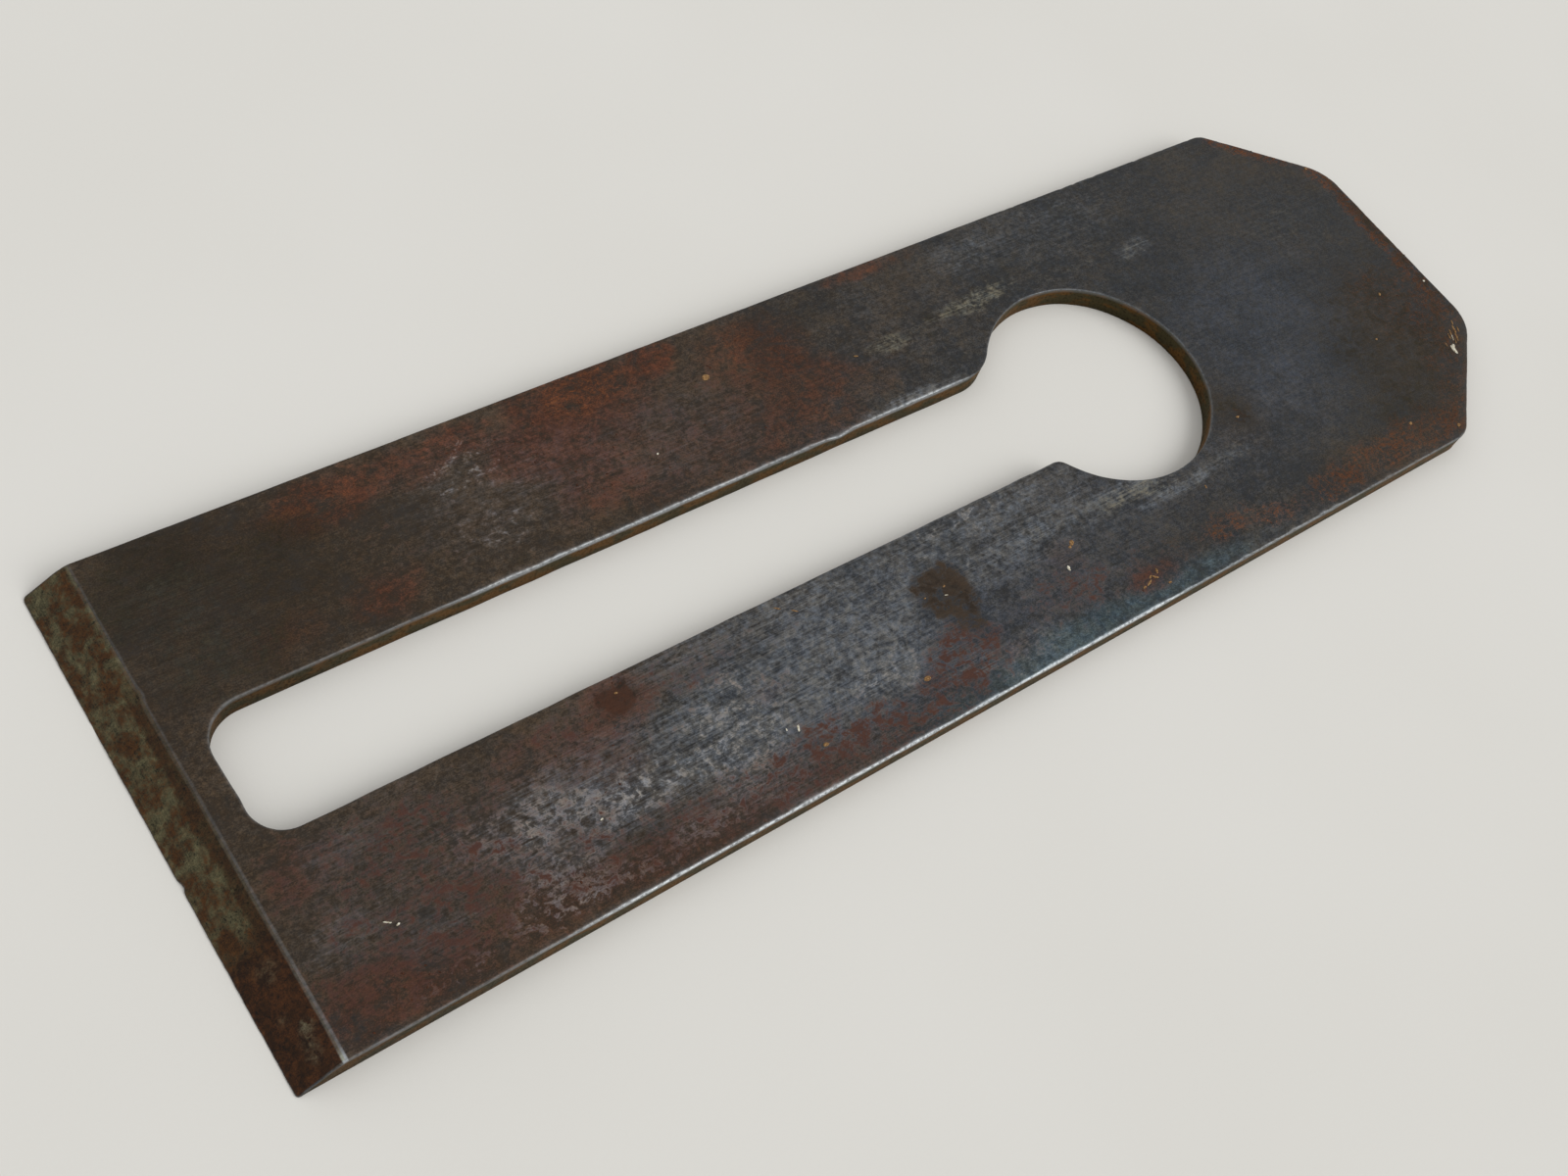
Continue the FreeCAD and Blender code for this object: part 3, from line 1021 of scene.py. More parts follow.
    def line_strength(self, points: np.ndarray) -> np.ndarray:
        """How white the line along the bevel's arris shows, brightest at the near corner: partly rubbed
        steel, partly painted highlight.

        Args:
            points: The mesh's points.

        Returns:
            The strength at each point, with none on the walls and the back.
        """
        strength = np.full(len(points), self.line_base)
        for start, end, gain in self.line_gains:
            strength += gain * smooth(start, end, points[:, 1])
        return strength * (points[:, 2] > self.thickness * self.line_floor)

    @staticmethod
    def triangles(loops: Sequence[np.ndarray], inner: np.ndarray) -> list[list[int]]:
        """Span the metal between the loops with triangles over the given points.

        Args:
            loops: The outer loop and the opening's loop.
            inner: The points between them.

        Returns:
            The corners of each triangle, anticlockwise, as numbers of the loops' points, then the inner ones.
        """
        points = np.vstack([*loops, inner])
        edges, start = [], 0
        for loop in loops:
            edges += [(start + i, start + (i + 1) % len(loop)) for i in range(len(loop))]
            start += len(loop)
        made = delaunay_2d_cdt([Vector(p) for p in points.tolist()], edges, [], 1, 1e-6)
        origin = [found[0] for found in made[3]]
        faces = np.array([[origin[corner] for corner in face] for face in made[2]])
        middles = points[faces].mean(axis=1)
        faces = faces[~inside(loops[1], middles)]
        a, b, c = (points[faces[:, k]] for k in range(3))
        area = (b[:, 0] - a[:, 0]) * (c[:, 1] - a[:, 1]) - (b[:, 1] - a[:, 1]) * (c[:, 0] - a[:, 0])
        faces[area < 0] = faces[area < 0][:, ::-1]
        return faces.tolist()


@dataclass
class Band:
    """Rows of points along a closed loop, from the face's side down to the back."""

    points: np.ndarray
    brights: np.ndarray
    walls: np.ndarray
    opening: bool

    def flat(self) -> np.ndarray:
        """All the points, row after row."""
        return self.points.reshape(-1, 3)

    def brightness(self) -> np.ndarray:
        """How bright each point is, as rubbed steel and partly as painted highlight."""
        return self.brights.ravel()

    def wall_share(self) -> np.ndarray:
        """1 for each point on the wall, 0 on the arris."""
        return np.repeat(self.walls, self.points.shape[1])

    def row_index(self, row: int, start: int) -> np.ndarray:
        """The mesh's numbers for one row's points."""
        rows, count = self.points.shape[:2]
        return start + (row % rows) * count + np.arange(count)

    def quads(self) -> list[tuple[list[int], int]]:
        """Span each pair of rows with quads.

        Returns:
            Each quad, facing out of the metal, with the number of its row.
        """
        rows, count = self.points.shape[:2]
        found = []
        for row in range(rows - 1):
            for i in range(count):
                after = (i + 1) % count
                here, below = row * count, (row + 1) * count
                quad = [here + i, below + i, below + after, here + after]
                found.append((quad[::-1] if self.opening else quad, row))
        return found


class MeshDraft:
    """Points and faces gathered before they become a mesh."""

    def __init__(self) -> None:
        """Start empty."""
        self.points = np.zeros((0, 3))
        self.worn: list[np.ndarray] = []
        self.wall: list[np.ndarray] = []
        self.faces: list[list[int]] = []
        self.parts: list[int] = []

    def add_points(self, points: np.ndarray, worn: np.ndarray, wall: np.ndarray) -> int:
        """Add points.

        Args:
            points: Their places.
            worn: How bright each is, as rubbed steel and partly as painted highlight.
            wall: 1 for each that lies on a wall.

        Returns:
            The number of the first point.
        """
        start = len(self.points)
        self.points = np.vstack([self.points, points])
        self.worn.append(worn)
        self.wall.append(wall)
        return start

    def add_face(self, corners: list[int], part: Part) -> None:
        """Add a face of one material."""
        self.faces.append(corners)
        self.parts.append(part.value)

    def middle(self, face: list[int]) -> np.ndarray:
        """The middle of a face's corners."""
        return self.points[face].mean(axis=0)

    def finish(self, name: str, blade: Blade) -> bpy.types.Object:
        """Make the object, in metres, with one float attribute for each tone.

        Args:
            name: The object's name.
            blade: The blade whose grain breaks up the tones.

        Returns:
            The new object.
        """
        x, y, _ = self.points.T
        mesh = bpy.data.meshes.new(name)
        mesh.from_pydata((self.points * MM).tolist(), [], self.faces)
        mesh.polygons.foreach_set("material_index", self.parts)
        mesh.polygons.foreach_set("use_smooth", [True] * len(self.faces))
        fields = {tone.value: patch_field(tone, x, y, blade.grain) for tone in Tone}
        fields["worn"] = np.concatenate(self.worn)
        fields["wall"] = np.concatenate(self.wall)
        fields["into"] = x - blade.arris_at(y)
        fields["line"] = blade.line_strength(self.points)
        for attribute, values in fields.items():
            layer = mesh.attributes.new(attribute, "FLOAT", "POINT")
            layer.data.foreach_set("value", values.astype(np.float32))
        mesh.validate()
        mesh.update()
        piece = bpy.data.objects.new(name, mesh)
        bpy.context.scene.collection.objects.link(piece)
        return piece


class Pattern(Enum):
    """What breaks a film up: blob size in mm, detail, roughness, stretch along X and warp.

    The grit and the streaks are really finer than this, and are drawn as coarse as they need to show.
    """

    CLOUDS = (9.0, 3.0, 0.55, 1.3, 0.0)
    MOTTLE = (1.9, 6.0, 0.66, 1.3, 0.7)
    SPECKS = (0.50, 4.0, 0.65, 1.25, 0.3)
    GRIT = (0.14, 2.0, 0.5, 1.3, 0.0)
    STREAKS = (0.18, 3.0, 0.65, 40.0, 0.0)
    HUE = (0.9, 4.0, 0.65, 1.0, 0.0)
    BLOTCH = (1.5, 5.0, 0.62, 1.2, 1.4)


class Step(Enum):
    """A step of a material: its node's kind and settings, its inputs in order, and the output it gives."""

    PLACE = ("ShaderNodeTexCoord", {}, (), "Object")
    CARRIED = ("ShaderNodeAttribute", {}, (), "Fac")
    ALONG = ("ShaderNodeSeparateXYZ", {}, (0,), 0)
    ACROSS = ("ShaderNodeSeparateXYZ", {}, (0,), 1)
    HEIGHT = ("ShaderNodeSeparateXYZ", {}, (0,), 2)
    SCALE = ("ShaderNodeVectorMath", {"operation": "SCALE"}, (0, "Scale"), 0)
    DIVIDE = ("ShaderNodeVectorMath", {"operation": "DIVIDE"}, (0, 1), 0)
    NOISE = ("ShaderNodeTexNoise", {}, ("Vector", "Scale", "Detail", "Roughness", "Distortion"), 0)
    ADD = ("ShaderNodeMath", {"operation": "ADD"}, (0, 1), 0)
    MULTIPLY = ("ShaderNodeMath", {"operation": "MULTIPLY"}, (0, 1), 0)
    MULTIPLY_ADD = ("ShaderNodeMath", {"operation": "MULTIPLY_ADD"}, (0, 1, 2), 0)
    MAXIMUM = ("ShaderNodeMath", {"operation": "MAXIMUM"}, (0, 1), 0)
    ABSOLUTE = ("ShaderNodeMath", {"operation": "ABSOLUTE"}, (0,), 0)
    # A product and a maximum that are held between 0 and 1.
    SHARE_OF = ("ShaderNodeMath", {"operation": "MULTIPLY", "use_clamp": True}, (0, 1), 0)
    MOST_OF = ("ShaderNodeMath", {"operation": "MAXIMUM", "use_clamp": True}, (0, 1), 0)
    # Ease from the fourth value to the fifth, or from 0 to 1, as the first goes from the second to the third.
    RAMP = (
        "ShaderNodeMapRange",
        {"interpolation_type": "SMOOTHSTEP"},
        ("Value", "From Min", "From Max", "To Min", "To Max"),
        0,
    )
    # A colour, or a number, that goes from the second value to the third by the first.
    MIX = ("ShaderNodeMix", {"data_type": "RGBA"}, (0, 6, 7), 2)
    BLEND = ("ShaderNodeMix", {"data_type": "FLOAT"}, (0, 2, 3), 0)
    TIMES = ("ShaderNodeMix", {"data_type": "RGBA", "blend_type": "MULTIPLY"}, (0, 6, 7), 2)
    GREY = ("ShaderNodeCombineColor", {}, (0, 1, 2), 0)
    BUMP = ("ShaderNodeBump", {}, ("Strength", "Distance", "Height"), 0)
    SHADER = (
        "ShaderNodeBsdfPrincipled",
        {},
        ("Base Color", "Metallic", "Roughness", "Normal", "Specular IOR Level"),
        0,
    )


# Patterns, each with its share.
Mix = tuple[tuple[Pattern, float], ...]


@dataclass(frozen=True)
class Film:
    """A film, a stain or a rubbed spot on the steel.

    The mesh's attribute says how much of the film there is. The mix raises and lowers that by spread,
    and the film lies from low on and is whole at high. A crust stands up from the steel.
    """

    tone: Tone
    colour: str
    metallic: float
    roughness: float
    mix: Mix
    spread: float
    low: float
    high: float
    crust: float = 0.0


MOTTLED: Mix = ((Pattern.MOTTLE, 0.45), (Pattern.BLOTCH, 0.20), (Pattern.SPECKS, 0.22), (Pattern.GRIT, 0.13))
PATCHED: Mix = ((Pattern.MOTTLE, 0.35), (Pattern.BLOTCH, 0.40), (Pattern.SPECKS, 0.25))
DUSTED: Mix = ((Pattern.MOTTLE, 0.30), (Pattern.SPECKS, 0.50), (Pattern.GRIT, 0.20))
CLOUDED: Mix = ((Pattern.CLOUDS, 0.4), (Pattern.MOTTLE, 0.6))
FLECKED: Mix = (
    (Pattern.MOTTLE, 0.25),
    (Pattern.BLOTCH, 0.43),
    (Pattern.SPECKS, 0.27),
    (Pattern.STREAKS, 0.05),
)
SPOTTED: Mix = ((Pattern.BLOTCH, 0.6), (Pattern.SPECKS, 0.4))
RUBBED: Mix = (
    (Pattern.STREAKS, 0.25),
    (Pattern.MOTTLE, 0.22),
    (Pattern.BLOTCH, 0.27),
    (Pattern.SPECKS, 0.26),
)

# How much each pattern lightens and darkens the oxide: strongly on the arms, and faintly on the head.
LIVELY: Mix = (
    (Pattern.CLOUDS, 1.6),
    (Pattern.STREAKS, 0.45),
    (Pattern.SPECKS, 1.4),
    (Pattern.MOTTLE, 1.3),
    (Pattern.BLOTCH, 1.1),
    (Pattern.GRIT, 1.4),
)
QUIET: Mix = (
    (Pattern.STREAKS, 0.3),
    (Pattern.SPECKS, 0.7),
    (Pattern.MOTTLE, 0.4),
    (Pattern.CLOUDS, 0.8),
    (Pattern.GRIT, 0.7),
)
# The fine lines and specks over everything that lies on the steel.
LINED: Mix = ((Pattern.STREAKS, 0.45), (Pattern.SPECKS, 0.8), (Pattern.BLOTCH, 0.6), (Pattern.GRIT, 0.7))
# Rust and bare ground on the bevel.
PITTED: Mix = ((Pattern.SPECKS, 2.7), (Pattern.BLOTCH, 1.6), (Pattern.GRIT, 2.2))

# Where the oxide drifts from one colour to the other.
DRIFTS: Mix = ((Pattern.CLOUDS, 0.5), (Pattern.MOTTLE, 0.5))
# The relief: how crusts crumble, and the scratches and pores everywhere.
CRUMBLY: Mix = ((Pattern.SPECKS, 0.8), (Pattern.GRIT, 0.5))
SCRATCHED: Mix = ((Pattern.STREAKS, 0.30), (Pattern.GRIT, 0.12), (Pattern.SPECKS, 0.25))

# What lies on the steel, from below: brown film, the painted blue and blue-green reflections, rust,
# bright rust and soot.
OXIDES = (
    Film(Tone.WARM, "#3E342A", 0.45, 0.52, CLOUDED, 1.2, 0.0, 0.95),
    # Painted reflection: the bluish cast of reflected sky.
    Film(Tone.BLUE, "#42464E", 0.70, 0.42, CLOUDED, 1.4, 0.0, 1.1),
    # Painted reflection: a blue-green band along the near edge.
    Film(Tone.EDGE_REFLECTION, "#404B50", 0.70, 0.42, CLOUDED, 1.4, 0.0, 1.1),
    Film(Tone.RUST, "#4A2B1D", 0.10, 0.70, MOTTLED, 3.6, 0.0, 1.2, 0.7),
    Film(Tone.ORANGE, "#57321B", 0.05, 0.76, DUSTED, 5.0, 0.30, 1.4, 1.0),
    Film(Tone.DARK, "#221C0F", 0.20, 0.64, PATCHED, 4.0, 0.0, 1.15, 0.5),
)
# What wear and dirt have done since: thinned oxide with a painted sheen of reflected light, bare flecks,
# rust islands, rubbed streaks, stains.
MARKS = (
    # Partly rubbed oxide, partly a painted sheen of reflected light.
    Film(Tone.SHEEN, "#696B6E", 0.85, 0.40, RUBBED, 4.3, 0.0, 1.10),
    Film(Tone.BARE, "#8E8B8A", 0.92, 0.38, FLECKED, 7.0, 0.44, 1.25),
    Film(Tone.ISLE, "#472E26", 0.15, 0.66, PATCHED, 5.0, 0.36, 1.15, 0.6),
    Film(Tone.PALE, "#726F63", 0.70, 0.44, RUBBED, 5.4, 0.14, 1.3),
    Film(Tone.STAIN, "#3B3026", 0.20, 0.62, PATCHED, 3.6, 0.20, 0.84, 0.6),
    Film(Tone.SPOT, "#43291C", 0.15, 0.66, FLECKED, 1.2, 0.40, 0.66, 0.6),
    Film(Tone.CLOT, "#251C14", 0.15, 0.66, SPOTTED, 6.0, 0.10, 1.4, 0.6),
)

# Steel that wear has laid bare, which also stands in for the painted highlight on the arrises.
BARE_METALLIC = 0.95
BARE_ROUGHNESS = 0.36


@dataclass(frozen=True)
class Layer:
    """The steel as built up so far: its colour, metalness and roughness, and the crusts on it."""

    colour: Colour
    metallic: Value
    roughness: Value
    crusts: tuple[tuple[Value, float], ...] = ()


@dataclass
class Shading:
    """A material in the making, with the coordinates and patterns that its layers share."""

    name: str
    tree: bpy.types.NodeTree = field(init=False)
    material: bpy.types.Material = field(init=False)
    mm: Value = field(init=False)
    patterns: dict[Pattern, Value] = field(init=False, default_factory=dict)

    def __post_init__(self) -> None:
        """Make the empty material and its millimetre coordinates."""
        self.material = bpy.data.materials.new(self.name)
        self.material.use_nodes = True
        self.tree = self.material.node_tree
        self.tree.nodes.clear()
        self.mm = self.add(Step.SCALE, self.add(Step.PLACE), PER_MM)

    def add(self, step: Step, *values: Value | Colour, name: str = "") -> bpy.types.NodeSocket:
        """Add one step to the material.

        Args:
            step: What the step does.
            values: Its inputs, in the step's order. The node's own defaults stand for any left out.
            name: The mesh's attribute that the step reads, where it reads one.

        Returns:
            The step's result.
        """
        kind, settings, keys, output = step.value
        if name:
            settings = settings | {"attribute_name": name}
        return add_node(self.tree, kind, settings, dict(zip(keys, values))).outputs[output]

    def noise(
        self,
        grain_mm: float,
        detail: float,
        rough: float,
        stretch: Sequence[float] = (1, 1, 1),
        warp: float = 0.0,
    ) -> Value:
        """A noise pattern whose blobs are about grain_mm across.

        Args:
            grain_mm: The blobs' size in millimetres.
            detail: How many finer layers it has.
            rough: How strong the finer layers are.
            stretch: How many times longer the blobs are along X, Y and Z.
            warp: How far the blobs are pulled out of shape.

        Returns:
            The socket with values about 0.5.
        """
        vector = self.add(Step.DIVIDE, self.mm, tuple(stretch))
        return self.add(Step.NOISE, vector, 1 / grain_mm, detail, rough, warp)

    def pattern(self, kind: Pattern) -> Value:
        """One of the shared patterns, made once.

        Args:
            kind: Which pattern.

        Returns:
            Its socket, with values about 0.5.
        """
        if kind not in self.patterns:
            grain_mm, detail, rough, stretch, warp = kind.value
            self.patterns[kind] = self.noise(grain_mm, detail, rough, (stretch, 1, 1), warp)
        return self.patterns[kind]

    def total(self, shares: Sequence[tuple[Pattern | Value, float]], base: float = 0.0) -> Value:
        """Add patterns and sockets up, each times its share.

        Args:
            shares: The patterns and sockets with their shares.
            base: What the sum starts from.

        Returns:
            The sum.
        """
        result: Value = base
        for part, share in shares:
            value = self.pattern(part) if isinstance(part, Pattern) else part
            result = self.add(Step.MULTIPLY_ADD, value, share, result)
        return result

    def swing(self, mix: Mix, middle: float) -> Value:
        """A mix of patterns that swings about a middle, since each pattern averages a half."""
        return self.total(mix, middle - sum(share for _, share in mix) / 2)

    def tinted(self, colour: Colour, tint: Value) -> Value:
        """A colour times a number."""
        return self.add(Step.TIMES, 1.0, colour, self.add(Step.GREY, tint, tint, tint))

    def drifting(self, colour: Colour, warm: str, cool: str) -> Value:
        """A colour that drifts towards a warm and a cool tint, as old patina does."""
        hue = self.add(Step.RAMP, self.pattern(Pattern.HUE), 0.34, 0.66)
        return self.add(Step.TIMES, 1.0, colour, self.add(Step.MIX, hue, linear(warm), linear(cool)))

    def coverage(self, film: Film) -> Value:
        """Work out where a film lies, from the mesh's attribute and the film's mix.

        Args:
            film: The film.

        Returns:
            1 where it is whole, 0 where there is none.
        """
        swing = self.total([(self.total(film.mix), 2 * film.spread)], 1 - film.spread)
        level = self.add(Step.MULTIPLY, self.add(Step.CARRIED, name=film.tone.value), swing)
        return self.add(Step.RAMP, level, film.low, film.high)

    def arris_line(self) -> Value:
        """The line along the bevel's arris, partly rubbed steel and partly painted highlight, from the mesh's
        distance to it in millimetres.

        Returns:
            How much of the line shows.
        """
        into = self.total([(self.add(Step.CARRIED, name="into"), 1.0), (Pattern.MOTTLE, 0.16)], -0.08)
        near = self.add(Step.RAMP, self.add(Step.ABSOLUTE, into), 0.36, 0.16)
        share = self.add(Step.RAMP, self.pattern(Pattern.SPECKS), 0.3, 0.7, 0.7, 1.3)
        line = self.add(Step.CARRIED, name="line")
        return self.add(Step.SHARE_OF, self.add(Step.MULTIPLY, near, share), line)

    def worn_edge(self, specks: Value) -> Value:
        """Where the arris is rubbed bare, partly as painted highlight, broken up by specks of rust."""
        broken = self.add(Step.RAMP, specks, 0.3, 0.55, 0.6, 1.0)
        return self.add(Step.SHARE_OF, self.add(Step.CARRIED, name="worn"), broken)

    def bared_and_highlighted(self, layer: Layer, share: Value, bright: str) -> Layer:
        """Lay the steel bare, partly as painted highlight.

        Args:
            layer: What covers it.
            share: How bare it is, painted highlight included.
            bright: The bare steel's colour.

        Returns:
            The layer with the bare steel in it.
        """
        colour = self.add(Step.MIX, share, layer.colour, linear(bright))
        metallic = self.add(Step.BLEND, share, layer.metallic, BARE_METALLIC)
        roughness = self.add(Step.BLEND, share, layer.roughness, BARE_ROUGHNESS)
        return Layer(colour, metallic, roughness, layer.crusts)

    def films(self, layer: Layer, films: Sequence[Film]) -> Layer:
        """Lay films over a layer, one after another.

        Args:
            layer: What lies beneath.
            films: The films, from below.

        Returns:
            The layer with the films on it.
        """
        for film in films:
            lying = self.coverage(film)
            colour = self.add(Step.MIX, lying, layer.colour, linear(film.colour))
            metallic = self.add(Step.BLEND, lying, layer.metallic, film.metallic)
            roughness = self.add(Step.BLEND, lying, layer.roughness, film.roughness)
            crusts = layer.crusts + (((lying, film.crust),) if film.crust else ())
            layer = Layer(colour, metallic, roughness, crusts)
        return layer

    def finish(
        self,
        layer: Layer,
        height: Value,
        bump_mm: float,
        specular: float = 0.2,
    ) -> bpy.types.Material:
        """Close the material with one shader and its bump.

        Args:
            layer: The finished colour, metalness and roughness.
            height: The bump pattern.
            bump_mm: How deep the bump is, in millimetres.
            specular: How much the parts that aren't metal shine. Dry oxide shines little.

        Returns:
            The finished material.
        """
        bump = self.add(Step.BUMP, 1.0, bump_mm * MM, height)
        shader = self.add(Step.SHADER, layer.colour, layer.metallic, layer.roughness, bump, specular)
        add_node(self.tree, "ShaderNodeOutputMaterial", {}, {0: shader})
        return self.material


# To the eye: near-black steel with a soft, broken shine, warm where oil has dried on it, dull red-brown
# where it rusts, and silvery where handling has rubbed the oxide thin, with a painted sheen and a bluish
# painted reflection on the near arm and a painted glint on the brightest arrises.
@dataclass(frozen=True)
class PatinatedSteel:
    """Rolled tool steel under a dark oxide, rust-filmed and rubbed through in places."""

    name: str = "patinated_tool_steel"
    cool: str = "#37383A"
    dun: str = "#3B3835"
    # Rubbed steel on the arrises, partly painted highlight, and the painted glint on the brightest.
    bright: str = "#A9AEB2"
    painted_glint: str = "#E2E8EC"
    warm_tint: str = "#FFF9EF"
    cool_tint: str = "#EFF6FF"
    oxide_metallic: float = 0.6
    oxide_roughness: tuple[float, float] = (0.40, 0.50)
    # Between which levels of the clouds it drifts, how dark the grain gets, and between which levels of
    # wear and highlight an arris gets its painted glint.
    drift_levels: tuple[float, float] = (0.38, 0.62)
    deepest_shade: float = -0.20
    painted_glint_from: tuple[float, float] = (0.75, 1.20)
    bump_mm: float = 0.030

    def build(self) -> bpy.types.Material:
        """Make the material.

        Returns:
            The face's material.
        """
        s = Shading(self.name)
        drift = s.add(Step.RAMP, s.total(DRIFTS), *self.drift_levels)
        oxide = s.add(Step.MIX, drift, linear(self.cool), linear(self.dun))
        roughness = s.add(Step.RAMP, s.pattern(Pattern.MOTTLE), 0.3, 0.7, *self.oxide_roughness)
        layer = s.films(Layer(oxide, self.oxide_metallic, roughness), OXIDES)
        # The grain is strongest where the face is mottled and faint on the head.
        lively = s.add(Step.MAXIMUM, s.swing(LIVELY, -0.01), self.deepest_shade)
        shade = s.add(Step.BLEND, s.add(Step.CARRIED, name="calm"), lively, s.swing(QUIET, 0.0))
        shaded = s.tinted(layer.colour, s.add(Step.ADD, shade, 1.0))
        layer = s.films(replace(layer, colour=shaded), MARKS)
        lined = s.tinted(layer.colour, s.swing(LINED, 1.04))
        layer = replace(layer, colour=s.drifting(lined, self.warm_tint, self.cool_tint))
        # The arrises are rubbed bare, partly as painted highlight,
        # and the brightest stretches get a painted glint.
        broken = s.add(Step.RAMP, s.pattern(Pattern.SPECKS), 0.3, 0.6, 0.45, 1.0)
        rub_and_highlight = s.add(Step.MULTIPLY, s.add(Step.CARRIED, name="worn"), broken)
        layer = s.bared_and_highlighted(layer, s.add(Step.MOST_OF, rub_and_highlight, s.arris_line()), self.bright)
        painted_glint_share = s.add(Step.RAMP, rub_and_highlight, *self.painted_glint_from)
        layer = replace(layer, colour=s.add(Step.MIX, painted_glint_share, layer.colour, linear(self.painted_glint)))
        crust = s.add(Step.MULTIPLY, s.total(layer.crusts), s.total(CRUMBLY))
        return s.finish(layer, s.total([*SCRATCHED, (crust, 1.0)]), self.bump_mm)


# To the eye: a dull, olive-brown slope with hardly a gleam, its olive partly a painted green reflection,
# speckled dark, with a darker brown strip under the arris, the near end almost black, and an arris line
# that is partly painted highlight.
@dataclass(frozen=True)
class HonedBevel:
    """Tool steel ground and honed to an edge long ago, with rust grown over the facets since."""

    name: str = "honed_rusted_bevel"
    # The olive cast of the ground and the flecks is partly oxide and partly a painted green reflection.
    ground: str = "#524E39"
    rust: str = "#3B240D"
    deep: str = "#251304"
    ember: str = "#3A200C"
    strip: str = "#2C1C0C"
    fleck: str = "#4C4636"
    # The rubbed arris and its line, partly painted highlight.
    bright: str = "#A3A69A"
    ground_finish: tuple[float, float] = (0.55, 0.45)
    rust_finish: tuple[float, float] = (0.1, 0.66)
    hone_mm: float = 0.11
    mottle_mm: float = 1.5
    # Rust lies on the ground steel from this level of its pattern, and is whole at that one.
    rust_levels: tuple[float, float] = (0.395, 0.575)
    # The strip of the older grind starts here, from its lower side up, and fades out across the blade.
    strip_rise: tuple[float, float] = (0.20, 0.75)
    strip_fade: tuple[float, float] = (22.0, 12.0)
    strip_most: float = 0.75
    # From here on towards the near corner, rust covers all of the bevel.
    rust_from: tuple[float, float] = (-5.0, -10.0)
    # How far the mottle shifts the strip's fade and the rust's border, in millimetres.
    strip_wander: float = 8.0
    rust_wander: float = 16.0
    # How bright the bevel is on average, and how much the honing marks add to that.
    brightness: float = 0.53
    hone_share: float = 0.9
    bump_mm: float = 0.030

    def build(self, blade: Blade) -> bpy.types.Material:
        """Make the material.

        Args:
            blade: The blade, for the place of its facets.

        Returns:
            The bevel's material.
        """
        s = Shading(self.name)
        mottle = s.noise(self.mottle_mm, detail=6.0, rough=0.68, stretch=(1, 1.3, 1), warp=0.4)
        specks, haze = s.pattern(Pattern.SPECKS), s.add(Step.CARRIED, name="haze")
        # Honing marks run across the blade, finer than they can be seen, so they are drawn coarser.
        hone = s.noise(self.hone_mm, detail=2.0, rough=0.6, stretch=(1, 40, 1))
        x, y = s.add(Step.ALONG, s.mm), s.add(Step.ACROSS, s.mm)
        bloomed = [(mottle, 0.65), (Pattern.SPECKS, 0.25), (Pattern.GRIT, 0.10), (haze, -0.06)]
        bloomed.append((s.add(Step.CARRIED, name="brown"), 0.06))
        rust = s.add(Step.RAMP, s.total(bloomed), *self.rust_levels)
        colour = s.add(Step.MIX, rust, linear(self.ground), linear(self.rust))
        old_x = blade.arris_x - blade.old_facet_run
        low, high = (old_x + rise for rise in self.strip_rise)
        strip = s.add(Step.RAMP, s.total([(x, 1.0), (mottle, 1.0)]), low, high)
        fading = s.total([(y, 1.0), (mottle, self.strip_wander)])
        fade = s.add(Step.RAMP, fading, *self.strip_fade, 0.0, self.strip_most)
        colour = s.add(Step.MIX, s.add(Step.MULTIPLY, strip, fade), colour, linear(self.strip))
        # Rust has the near end, glowing brown in places, with a bloom of bare ground on it,
        # its olive partly a painted green reflection.
        near = s.add(Step.RAMP, s.total([(y, 1.0), (mottle, self.rust_wander)]), *self.rust_from)
        broken = s.add(Step.RAMP, s.total([(specks, 0.5), (mottle, 0.5)]), 0.42, 0.60)
        embers = s.add(Step.MIX, s.add(Step.RAMP, mottle, 0.40, 0.60), linear(self.deep), linear(self.ember))
        rusted = s.add(Step.MIX, s.add(Step.SHARE_OF, haze, broken), embers, linear(self.fleck))
        colour = s.add(Step.MIX, near, colour, rusted)
        honed = s.add(Step.MULTIPLY, hone, self.hone_share)
        colour = s.tinted(colour, s.add(Step.ADD, s.swing(PITTED, self.brightness), honed))
        covered = s.add(Step.MAXIMUM, rust, near)
        metallic = s.add(Step.BLEND, covered, self.ground_finish[0], self.rust_finish[0])
        roughness = s.add(Step.BLEND, covered, self.ground_finish[1], self.rust_finish[1])
        # The rubbed arris and the line along it, partly painted highlight.
        worn = s.add(Step.MAXIMUM, s.worn_edge(specks), s.arris_line())
        layer = s.bared_and_highlighted(Layer(colour, metallic, roughness), worn, self.bright)
        relief = s.total([(hone, 0.25), (s.add(Step.MULTIPLY, specks, covered), 0.9)])
        return s.finish(layer, relief, self.bump_mm)
